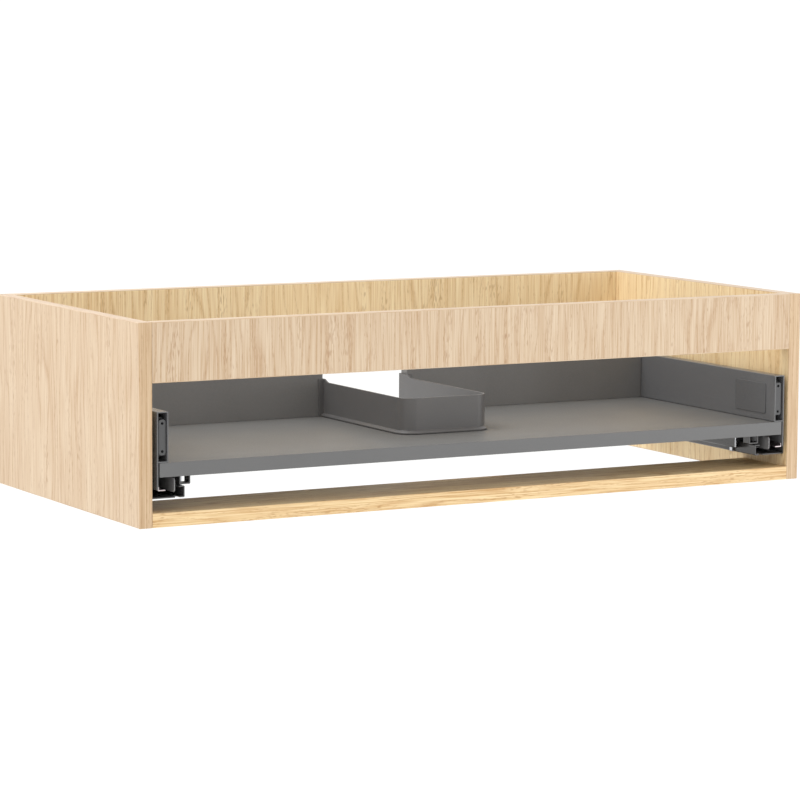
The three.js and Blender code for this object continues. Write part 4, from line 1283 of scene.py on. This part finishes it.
@dataclass
class DrawerSide(Hardware):
    """The folded steel side of the drawer, with the fittings in and on it."""

    path: Path = ((7.25, 47.0), (7.25, 144.25), (21.25, 144.25), (21.25, 81.75), (8.2, 81.75))
    foot_path: Path = ((9.0, 51.0), (9.0, 46.25), (18.5, 46.25))
    window_edge: float = 7.0
    window_corner: float = 1.5
    window_cut: tuple[float, float] = (-2.5, 1.0)
    neck_length: float = 9.0
    neck_gap: tuple[float, float] = (1.5, 0.5)
    neck_arris: float = 0.5
    shoulder: float = 2.0
    shoulder_arris: float = 0.3
    corner: float = 3.5
    hole: float = 1.7
    hole_inset: float = 4.9
    hole_depth: float = 20.0
    cap_corner: float = 3.0
    cap_thickness: float = 1.0
    cap_arris: float = 0.35
    clip_gap: float = 0.4
    clip_corner: float = 1.2
    clip_bite: float = 0.1
    rear_corner: float = 2.0
    rear_hole: float = 2.0
    rear_hole_inset: tuple[float, float] = (9.0, 10.0)
    plug_bite: float = 0.2
    plug_gap: float = 0.3
    plug_arris: float = 0.8

    def steel(self) -> None:
        """The double-walled profile with the window behind the cover cap, and the foot strip under it."""
        low, high = self.local("drawer_side")
        cap_low, cap_high = self.local("cover_cap")
        edge = np.array([self.window_edge, self.window_edge])
        opening = rectangle(cap_low[1:] + edge, cap_high[1:] - edge, self.window_corner)
        behind, before = self.window_cut
        window = prism(opening, (high[0] + behind, high[0] + before), Axis.X)
        self.make("side_profile", [self.profile(self.path, (low[1], high[1]))], POWDER_COAT, "drawer",
                  "grey_steel", ("drawer_side",), window)
        low, high = self.local("side_foot")
        self.make("side_foot_strip", [self.profile(self.foot_path, (low[1], high[1]))], PINK_ZINC, "drawer",
                  "zinc_steel", ("side_foot",))

    def bracket(self) -> None:
        """The moulded block in the side's front end, with two deep screw holes in its narrower neck."""
        low, high = self.local("front_bracket")
        across, up = low[[0, 2]], high[[0, 2]]
        start = across + [self.neck_gap[0], self.shoulder]
        stop = up - [self.neck_gap[1], self.shoulder]
        middle = (start[0] + stop[0]) / 2
        levels = (across[1] + self.shoulder + self.hole_inset, up[1] - self.shoulder - self.hole_inset)
        holes = [circle((middle, level), self.hole, 20) for level in levels]
        front, shoulder = low[1], low[1] + self.neck_length
        deep = front + self.hole_depth
        neck = rectangle(start, stop, self.corner, 6)
        body = rectangle(across, up, self.corner, 6)
        shapes = [
            prism(neck, (front, shoulder + self.neck_arris), Axis.Y, self.neck_arris, holes),
            prism(body, (shoulder, deep), Axis.Y, self.shoulder_arris, holes),
            prism(body, (deep, high[1]), Axis.Y, self.shoulder_arris),
        ]
        self.make("bracket_block", shapes, BRACKET_GREY, "drawer", "grey_plastic", ("front_bracket",))

    def cap(self) -> None:
        """The thin cover over the window, with its clip behind."""
        low, high = self.local("cover_cap")
        face = high[0] - self.cap_thickness
        edge = np.full(2, self.window_edge + self.clip_gap)
        cover = rectangle(low[1:], high[1:], self.cap_corner, 6)
        clip = rectangle(low[1:] + edge, high[1:] - edge, self.clip_corner)
        shapes = [
            prism(cover, (face, high[0]), Axis.X, self.cap_arris),
            prism(clip, (low[0], face + self.clip_bite), Axis.X, self.arris),
        ]
        self.make("cap_cover", shapes, CAP_GREY, "drawer", "grey_plastic", ("cover_cap",))

    def rear(self) -> None:
        """The pressed bracket: a plug in the side's rear end and a plate on the drawer back."""
        low, high = self.local("rear_bracket")
        inset_a, inset_z = self.rear_hole_inset
        levels = (low[2] + inset_z, high[2] - inset_z)
        holes = [circle((high[0] - inset_a, level), self.rear_hole, 20) for level in levels]
        outline = rectangle(low[[0, 2]], high[[0, 2]], self.rear_corner, 5)
        plate = prism(outline, (high[1] - self.sheet, high[1]), Axis.Y, self.arris, holes)
        plug_in = self.local("front_bracket")[1][0]
        plug_high = np.array([plug_in, high[1] - self.sheet + self.plug_bite, high[2] - self.plug_gap])
        plug = box_shape(low + [0, 0, self.plug_gap], plug_high, self.plug_arris)
        self.make("rear_bracket_plate", [plate, plug], POWDER_COAT, "drawer", "grey_steel", ("rear_bracket",))

    def build(self) -> None:
        """Makes the side and its fittings."""
        self.steel()
        self.bracket()
        self.cap()
        self.rear()


@dataclass
class Runner(Hardware):
    """A full-extension runner: fixed rail, middle rail, two roller cages and the drawer's own rail."""

    rail_path: Path = ((1.0, 60.0), (1.0, 35.75), (47.25, 35.75), (47.25, 48.75), (40.0, 48.75))
    tab_path: Path = ((47.6, 35.75), (50.75, 35.75), (50.75, 41.0))
    tab_span: tuple[float, float] = (58.0, 64.0)
    hole_cut: tuple[float, float] = (-1.0, 3.0)
    flange_hole: float = 3.25
    flange_hole_in: float = 38.0
    flange_holes: tuple[float, ...] = (120.0, 200.0)
    slot_end: float = 14.0
    slot_front: float = -2.0
    slot_radii: tuple[float, ...] = (0.0, 0.0, 3.0, 3.0)
    screw_hole: float = 2.15
    screw_seat: float = 1.75
    screw_shank: float = 2.0
    screw_tip: float = 2.0
    screw_head: float = 4.0
    head_rim: float = 0.5
    head_flat: float = 1.5
    head_chamfer: float = 0.2
    recess: float = 1.5
    recess_arm: float = 0.45
    recess_cut: float = 1.0
    web_path: Path = ((34.5, 60.0), (30.25, 60.0), (30.25, 43.75), (34.5, 43.75))
    roof_path: Path = ((30.25, 55.25), (51.25, 55.25), (51.25, 44.75))
    foot_path: Path = ((30.25, 43.75), (43.75, 43.75), (43.75, 47.25))
    web: tuple[float, float] = (29.5, 31.0)
    web_corner: float = 4.0
    plate_length: float = 26.0
    plate_overlap: float = 1.0
    body_front: float = 50.0
    hook_path: Path = ((42.375, 61.4), (42.375, 51.875), (55.875, 51.875), (55.875, 61.4))
    hook_wall: float = 1.75
    hook_length: float = 14.0
    wall_path: Path = ((41.5, 62.0), (57.75, 62.0), (57.75, 43.25), (49.0, 43.25))
    wall_front: float = 40.0
    wing_span: tuple[float, float] = (246.5, 268.0)
    wing_overlap: float = 0.4
    plate_corner: float = 1.5
    inner_corner: float = 0.3
    joint_bite: float = 0.1
    striker: Block = ((21.0, 256.5, 52.75), (27.0, 258.0, 61.4))
    edge_clip: Block = ((56.7, 39.3, 43.4), (58.9, 41.2, 61.2))
    clip_arris: float = 0.25
    pivot: tuple[float, float] = (43.5, 57.75)
    trunnion: float = 1.5
    trunnion_fit: float = 0.2
    trunnion_arris: float = 0.25
    wall_hole_cut: tuple[float, float] = (-3.0, 1.0)
    ear_half: float = 3.0
    ear_corner: float = 1.2
    ear_gap: float = 0.25
    lever_in: float = 45.0
    lever_out: float = 55.0
    lever_corner: float = 1.5
    lever_arris: float = 0.4
    pad_width: float = 6.0
    pad_thickness: float = 2.0
    pad_back: float = 41.5
    release_radius: float = 2.05
    release_wire: float = 0.4
    release_turns: float = 6.5
    cage_rollers: int = 6
    cage_gap: float = 0.65
    cage_corner: float = 0.8
    cage_arris: float = 0.25
    roller_inset: float = 0.4
    roller_play: float = 0.2
    roller_arris: float = 0.3
    lower_roller: float = 2.4
    upper_roller: float = 2.525

    def fixed_rail(self) -> None:
        """The rail on the panel, its bright tab and its two screws."""
        low, high = self.local("cabinet_rail")
        screws = [(low + high) / 2 for low, high in (self.local(f"rail_screw_{n}") for n in (1, 2))]
        across = [prism(circle(screw[1:], self.screw_hole), self.hole_cut, Axis.X) for screw in screws]
        under, above = self.hole_cut
        through = (low[2] + under, low[2] + above)
        up = [prism(circle((self.flange_hole_in, y), self.flange_hole, 32), through, Axis.Z)
              for y in self.flange_holes]
        slot_low = (self.flange_hole_in - self.flange_hole, low[1] + self.slot_front)
        slot_high = (self.flange_hole_in + self.flange_hole, self.slot_end + self.flange_hole)
        up.append(prism(rectangle(slot_low, slot_high, list(self.slot_radii), 8), through, Axis.Z))
        self.make("fixed_rail", [self.profile(self.rail_path, (low[1], high[1]))], RUNNER_STEEL, "cabinet",
                  "runner_steel", ("cabinet_rail",), joined(across + up))
        tab = self.profile(self.tab_path, self.tab_span)
        self.make("rail_tab", [tab], BRIGHT_ZINC, "cabinet", "zinc_steel")
        for number, screw in enumerate(screws, 1):
            self.screw(number, screw[1:])

    def screw(self, number: int, line: Array) -> None:
        """A pan-head screw with a cross recess; its shank lies in the panel.

        The head's dome is a quarter of an ellipse between its rim and its flat.

        Args:
            number: the screw's number, counted from the front.
            line: where its axis lies, in (y, z).
        """
        stem = f"rail_screw_{number}"
        low, high = self.local(stem)
        top, rim = high[0], self.screw_seat + self.head_rim
        rise, run = top - self.screw_seat - self.head_rim, self.screw_head - self.head_flat
        dome = [(rim + rise * math.sin(angle), self.head_flat + run * math.cos(angle))
                for angle in np.linspace(0, math.pi / 2, 7)]
        profile = [(low[0], 0.0), (low[0] + self.screw_tip, self.screw_shank),
                   (self.screw_seat, self.screw_shank),
                   (self.screw_seat, self.screw_head - self.head_chamfer), *dome, (top, 0.0)]
        arm, tip = self.recess_arm, self.recess
        cross = np.array([(tip, -arm), (tip, arm), (arm, arm), (arm, tip), (-arm, tip), (-arm, arm),
                          (-tip, arm), (-tip, -arm), (-arm, -arm), (-arm, -tip), (arm, -tip), (arm, -arm)])
        recess = prism(cross + line, (top - self.recess_cut, top + self.recess_cut), Axis.X)
        self.make(f"{stem}_head", [turned(profile, Axis.X, line, 28)], BRIGHT_ZINC, "cabinet", "zinc_steel",
                  (stem,), recess)

    def middle_rail(self) -> None:
        """The web with its flanges, and the folds that wrap round the fixed rail behind its front."""
        low, high = self.local("middle_rail")
        nose, square = self.web_corner, self.inner_corner
        plate_back = low[1] + self.plate_length
        front = rectangle((low[1], low[2]), (plate_back, high[2]), [nose, square, square, nose], 6)
        rear = rectangle((high[1] - 2 * nose, low[2]), (high[1], high[2]), [square, nose, nose, square], 6)
        ends = [prism(outline, self.web, Axis.X, self.arris) for outline in (front, rear)]
        span = (plate_back - self.plate_overlap, high[1] - nose)
        wrap = (low[1] + self.body_front, high[1] - nose)
        shapes = [self.profile(self.web_path, span), self.profile(self.roof_path, wrap),
                  self.profile(self.foot_path, wrap), *ends]
        self.make("middle_rail_profile", shapes, MIDDLE_STEEL, "middle_rail", "runner_steel",
                  ("middle_rail",))

    def cage(self, stem: str, radius: float) -> None:
        """A plastic strip whose windows hold a row of steel rollers.

        Args:
            stem: the cage's node.
            radius: the rollers' radius.
        """
        low, high = self.local(stem)
        pitch = (high[1] - low[1]) / self.cage_rollers
        middles = low[1] + pitch * (np.arange(self.cage_rollers) + 0.5)
        ends = (low[0] + self.roller_inset, high[0] - self.roller_inset)
        play = self.roller_play
        windows = [rectangle((ends[0] - play, y - radius - play), (ends[1] + play, y + radius + play),
                             self.inner_corner) for y in middles]
        outline = rectangle(low[:2], high[:2], self.cage_corner)
        span = (low[2] + self.cage_gap, high[2] - self.cage_gap)
        strip = prism(outline, span, Axis.Z, self.cage_arris, windows)
        self.make(f"{stem}_strip", [strip], BLACK_ACETAL, stem, "black_plastic", (stem,))
        level = (low[2] + high[2]) / 2
        rollers = [pin(ends, radius, Axis.X, (y, level), self.roller_arris) for y in middles]
        self.make(f"{stem}_rollers", rollers, BRIGHT_ZINC, stem, "runner_steel")

    def drawer_rail(self) -> None:
        """The rail under the drawer bottom: plate, front hook, hanging wall, lever ear and striker wing."""
        low, high = self.local("drawer_rail")
        round_corner, square = self.plate_corner, self.inner_corner
        plate_low = high[2] - self.sheet
        level = (plate_low, high[2])
        hook_in, wall_out = self.wall_path[0][0], self.wall_path[1][0] + self.sheet / 2
        plate = rectangle((hook_in, low[1]), (wall_out, self.wall_front + self.joint_bite),
                          [round_corner, round_corner, square, square])
        wing = rectangle((low[0], self.wing_span[0]), (hook_in + self.wing_overlap, self.wing_span[1]),
                         [round_corner, square, square, round_corner])
        hook_span = (low[1], low[1] + self.hook_length)
        hook = prism(folded(self.hook_path, self.hook_wall, self.bend), hook_span, Axis.Y, self.arris)
        ear_low = (self.pivot[0] - self.ear_half, self.pivot[1] - self.ear_half)
        ear_high = (self.pivot[0] + self.ear_half, plate_low + self.joint_bite)
        ear_in = self.lever_in - self.sheet - self.ear_gap
        hole = circle(self.pivot, self.trunnion + self.trunnion_fit, 20)
        ear = rectangle(ear_low, ear_high, [self.ear_corner, self.ear_corner, square, square])
        wall = self.profile(self.wall_path, (self.wall_front, high[1]))
        inside, outside = self.wall_hole_cut
        wall_hole = prism(hole, (wall_out + inside, wall_out + outside), Axis.X)
        self.make("drawer_rail_wall", [wall], RUNNER_STEEL, "drawer", "runner_steel", ("drawer_rail",),
                  wall_hole)
        clip = box_shape(*self.edge_clip, self.clip_arris)
        self.make("drawer_rail_edge_clip", [clip], BRIGHT_ZINC, "drawer", "zinc_steel")
        shapes = [
            prism(plate, level, Axis.Z, self.arris),
            hook,
            prism(wing, level, Axis.Z, self.arris),
            prism(ear, (ear_in, ear_in + self.sheet), Axis.X, self.arris, [hole]),
            box_shape(*self.striker, self.arris),
        ]
        self.make("drawer_rail_plate", shapes, RUNNER_STEEL, "drawer", "runner_steel")

    def release(self) -> None:
        """The lever on its trunnions, and the coil spring between its pad and the plate."""
        low, high = self.local("release_lever")
        half = self.ear_half
        outline = rectangle((self.pivot[0] - half, low[2]), (self.pivot[0] + half, high[2]),
                            self.lever_corner)
        block = prism(outline, (self.lever_in, self.lever_out), Axis.X, self.lever_arris)
        pad_high = (self.lever_in + self.pad_width, self.pad_back, low[2] + self.pad_thickness)
        pad = box_shape((self.lever_in, low[1], low[2]), pad_high, self.lever_arris)
        axle = pin((low[0], high[0]), self.trunnion, Axis.X, self.pivot, self.trunnion_arris)
        self.make("lever_moulding", [block, pad, axle], BLACK_ACETAL, "release_lever", "black_plastic",
                  ("release_lever",))
        low, high = self.local("release_spring")
        middle = (low + high) / 2
        ends = ((middle[0], middle[1], high[2]), (middle[0], middle[1], low[2]))
        self.spring("release_spring", ends, self.release_radius, self.release_wire, self.release_turns,
                    "drawer", "release_lever")

    def build(self) -> None:
        """Makes the runner."""
        self.fixed_rail()
        self.middle_rail()
        self.cage("lower_cage", self.lower_roller)
        self.cage("upper_cage", self.upper_roller)
        self.drawer_rail()
        self.release()


@dataclass
class SoftCloser(Hardware):
    """An open tray on the fixed rail with a damper, a spring and the catch that the drawer picks up."""

    wall: float = 1.25
    tray_corner: float = 1.5
    tray_inner_corner: float = 0.6
    tray_arris: float = 0.3
    tray_floor_inset: float = 1.0
    tray_floor_seat: float = 0.02
    lip: float = 3.0
    body_top: float = 50.0
    catch_radii: tuple[float, ...] = (0.6, 0.6, 0.8, 0.5, 0.6, 0.6)
    bore: float = 1.15
    bore_end_wall: float = 4.0
    tube_round: float = 0.3
    tube_groove: tuple[float, ...] = (2.0, 1.7, 1.3, 1.0)
    tube_groove_depth: float = 0.25
    spring_radius: float = 1.27
    spring_wire: float = 0.2
    spring_turns: float = 45.0

    def tray(self) -> None:
        """The open tray with its thin floor."""
        low, high = self.local("closer_tray")
        outer = rectangle(low[:2], high[:2], self.tray_corner)
        inner = rectangle(low[:2] + self.wall, high[:2] - self.wall, self.tray_inner_corner)
        inset = self.tray_floor_inset
        floor = rectangle(low[:2] + inset, high[:2] - inset, self.tray_inner_corner)
        shapes = [
            prism(outer, (low[2], high[2]), Axis.Z, self.tray_arris, [inner]),
            prism(floor, (low[2] + self.tray_floor_seat, low[2] + self.wall), Axis.Z),
        ]
        self.make("closer_housing", shapes, BLACK_ACETAL, "cabinet", "black_plastic", ("closer_tray",))

    def catch(self) -> None:
        """The sliding catch, with a lip at its front that the striker meets."""
        low, high = self.local("closer_catch")
        lip_back = low[1] + self.lip
        corners = np.array([(low[1], low[2]), (high[1], low[2]), (high[1], self.body_top),
                            (lip_back, self.body_top), (lip_back, high[2]), (low[1], high[2])])
        outline = filleted(corners, self.catch_radii)
        catch = prism(outline, (low[0], high[0]), Axis.X, self.tray_arris)
        self.make("catch_moulding", [catch], BLACK_ACETAL, "closer_catch", "black_plastic",
                  ("closer_catch",))

    def damper(self) -> None:
        """The bored tube with a rolled groove near its front, and the rod that slides in it."""
        low, high = self.local("damper_cylinder")
        centre, radius = (low + high) / 2, (high[0] - low[0]) / 2
        soft, bottom = self.tube_round, high[1] - self.bore_end_wall
        waist = radius - self.tube_groove_depth
        levels = [low[1] + distance for distance in self.tube_groove]
        groove = list(zip(levels, (radius, waist, waist, radius)))
        profile = [(high[1], 0.0), (high[1], radius - soft), (high[1] - soft, radius), *groove,
                   (low[1] + soft, radius), (low[1], radius - soft), (low[1], self.bore),
                   (bottom, self.bore), (bottom, 0.0)]
        tube = turned(profile, Axis.Y, centre[[0, 2]], 32)
        self.make("damper_tube", [tube], BRIGHT_ZINC, "cabinet", "zinc_steel", ("damper_cylinder",))
        low, high = self.local("damper_rod")
        centre, radius = (low + high) / 2, (high[0] - low[0]) / 2
        rod = pin((low[1], high[1]), radius, Axis.Y, centre[[0, 2]])
        self.make("damper_bar", [rod], SPRING_WIRE, "closer_catch", "spring_steel", ("damper_rod",))

    def build(self) -> None:
        """Makes the tray, catch, damper and spring."""
        self.tray()
        self.catch()
        self.damper()
        low, high = self.local("closer_spring")
        centre = (low + high) / 2
        ends = ((centre[0], high[1], centre[2]), (centre[0], low[1], centre[2]))
        self.spring("closer_spring", ends, self.spring_radius, self.spring_wire, self.spring_turns,
                    "cabinet", "closer_catch")


# ---------------------------------------------------------------------------------------------------
# Studio
# ---------------------------------------------------------------------------------------------------


@dataclass
class SoftBox:
    """A large square light aimed at the cabinet's middle. Metres and watts."""

    name: str
    place: tuple[float, float, float]
    width: float
    power: float

    def build(self, target: Vector) -> None:
        """Places the light and turns its face to the target.

        Args:
            target: the point it is aimed at, in metres.
        """
        data = bpy.data.lights.new(self.name, "AREA")
        data.shape = "SQUARE"
        data.size = self.width
        data.energy = self.power
        light = bpy.data.objects.new(self.name, data)
        light.location = self.place
        light.rotation_euler = (target - Vector(self.place)).to_track_quat("-Z", "Y").to_euler()
        bpy.context.scene.collection.objects.link(light)


@dataclass
class Studio:
    """A pale floor well below the wall-hung cabinet, a white surround, soft lights and the camera."""

    camera_place: tuple[float, float, float] = (-2.2208, -3.96229, 0.64557)
    yaw: float = 29.2375
    pitch: float = -6.7093
    roll: float = 0.3535
    lens: float = 150.45
    sensor: float = 36.0
    floor_level: float = -0.75
    floor_size: float = 60.0
    surround: float = 0.94
    backdrop: float = 1.1
    lights: tuple[SoftBox, ...] = (
        SoftBox("overhead_key", (-1.3, 0.2, 2.3), 1.3, 31.0),
        SoftBox("left_fill", (-3.0, -1.0, 0.7), 1.6, 4.5),
        SoftBox("front_right_fill", (1.7, -1.8, 0.4), 1.1, 8.5),
    )

    def camera(self) -> None:
        """Turns the camera by yaw about z, then pitch, then roll about its own line of sight."""
        data = bpy.data.cameras.new("camera")
        data.lens = self.lens
        data.sensor_width = self.sensor
        data.dof.use_dof = False
        camera = bpy.data.objects.new("camera", data)
        upright = Euler((math.radians(90 + self.pitch), 0.0, math.radians(-self.yaw)), "XYZ").to_matrix()
        rolled = upright @ Euler((0.0, 0.0, math.radians(self.roll)), "XYZ").to_matrix()
        camera.matrix_world = rolled.to_4x4()
        camera.location = self.camera_place
        bpy.context.scene.collection.objects.link(camera)
        bpy.context.scene.camera = camera

    def floor(self) -> None:
        """A wide plane, matt and nearly white."""
        half = self.floor_size / 2
        corners = np.array([(-half, -half), (half, -half), (half, half), (-half, half)])
        mesh = bpy.data.meshes.new("studio_floor")
        mesh.from_pydata(carried(corners, self.floor_level, Axis.Z).tolist(), [], [(0, 1, 2, 3)])
        mesh.materials.append(STUDIO_FLOOR.material())
        floor = bpy.data.objects.new("studio_floor", mesh)
        bpy.context.scene.collection.objects.link(floor)
        floor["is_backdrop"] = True

    def world(self) -> None:
        """A full white behind the cabinet, and a softer white for all other light."""
        world = bpy.data.worlds.new("white_surround")
        bpy.context.scene.world = world
        world.use_nodes = True
        tree = world.node_tree
        tree.nodes.clear()
        seen = add(tree, "ShaderNodeLightPath").outputs["Is Camera Ray"]
        levels = {"Value": seen, "To Min": self.surround, "To Max": self.backdrop}
        strength = add(tree, "ShaderNodeMapRange", levels)
        white = (1.0, 1.0, 1.0, 1.0)
        light = add(tree, "ShaderNodeBackground", {"Color": white, "Strength": strength.outputs[0]})
        add(tree, "ShaderNodeOutputWorld", {"Surface": light.outputs["Background"]})

    def build(self) -> None:
        """Sets up the studio round the cabinet's middle."""
        low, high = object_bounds()
        target = (Vector(low) + Vector(high)) / 2
        for light in self.lights:
            light.build(target)
        self.camera()
        self.floor()
        self.world()
        scene = bpy.context.scene
        scene.view_settings.view_transform = "Standard"
        scene.view_settings.look = "None"


# ---------------------------------------------------------------------------------------------------
# The whole cabinet
# ---------------------------------------------------------------------------------------------------


def main() -> None:
    """Builds every sub-assembly and the studio."""
    logging.basicConfig(level=logging.INFO, format="%(message)s")
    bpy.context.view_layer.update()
    Carcass().build()
    DrawerBoards().build()
    for side in Side:
        DrawerSide(side).build()
        Runner(side).build()
        SoftCloser(side).build()
    Studio().build()


if __name__ == "__main__":
    main()
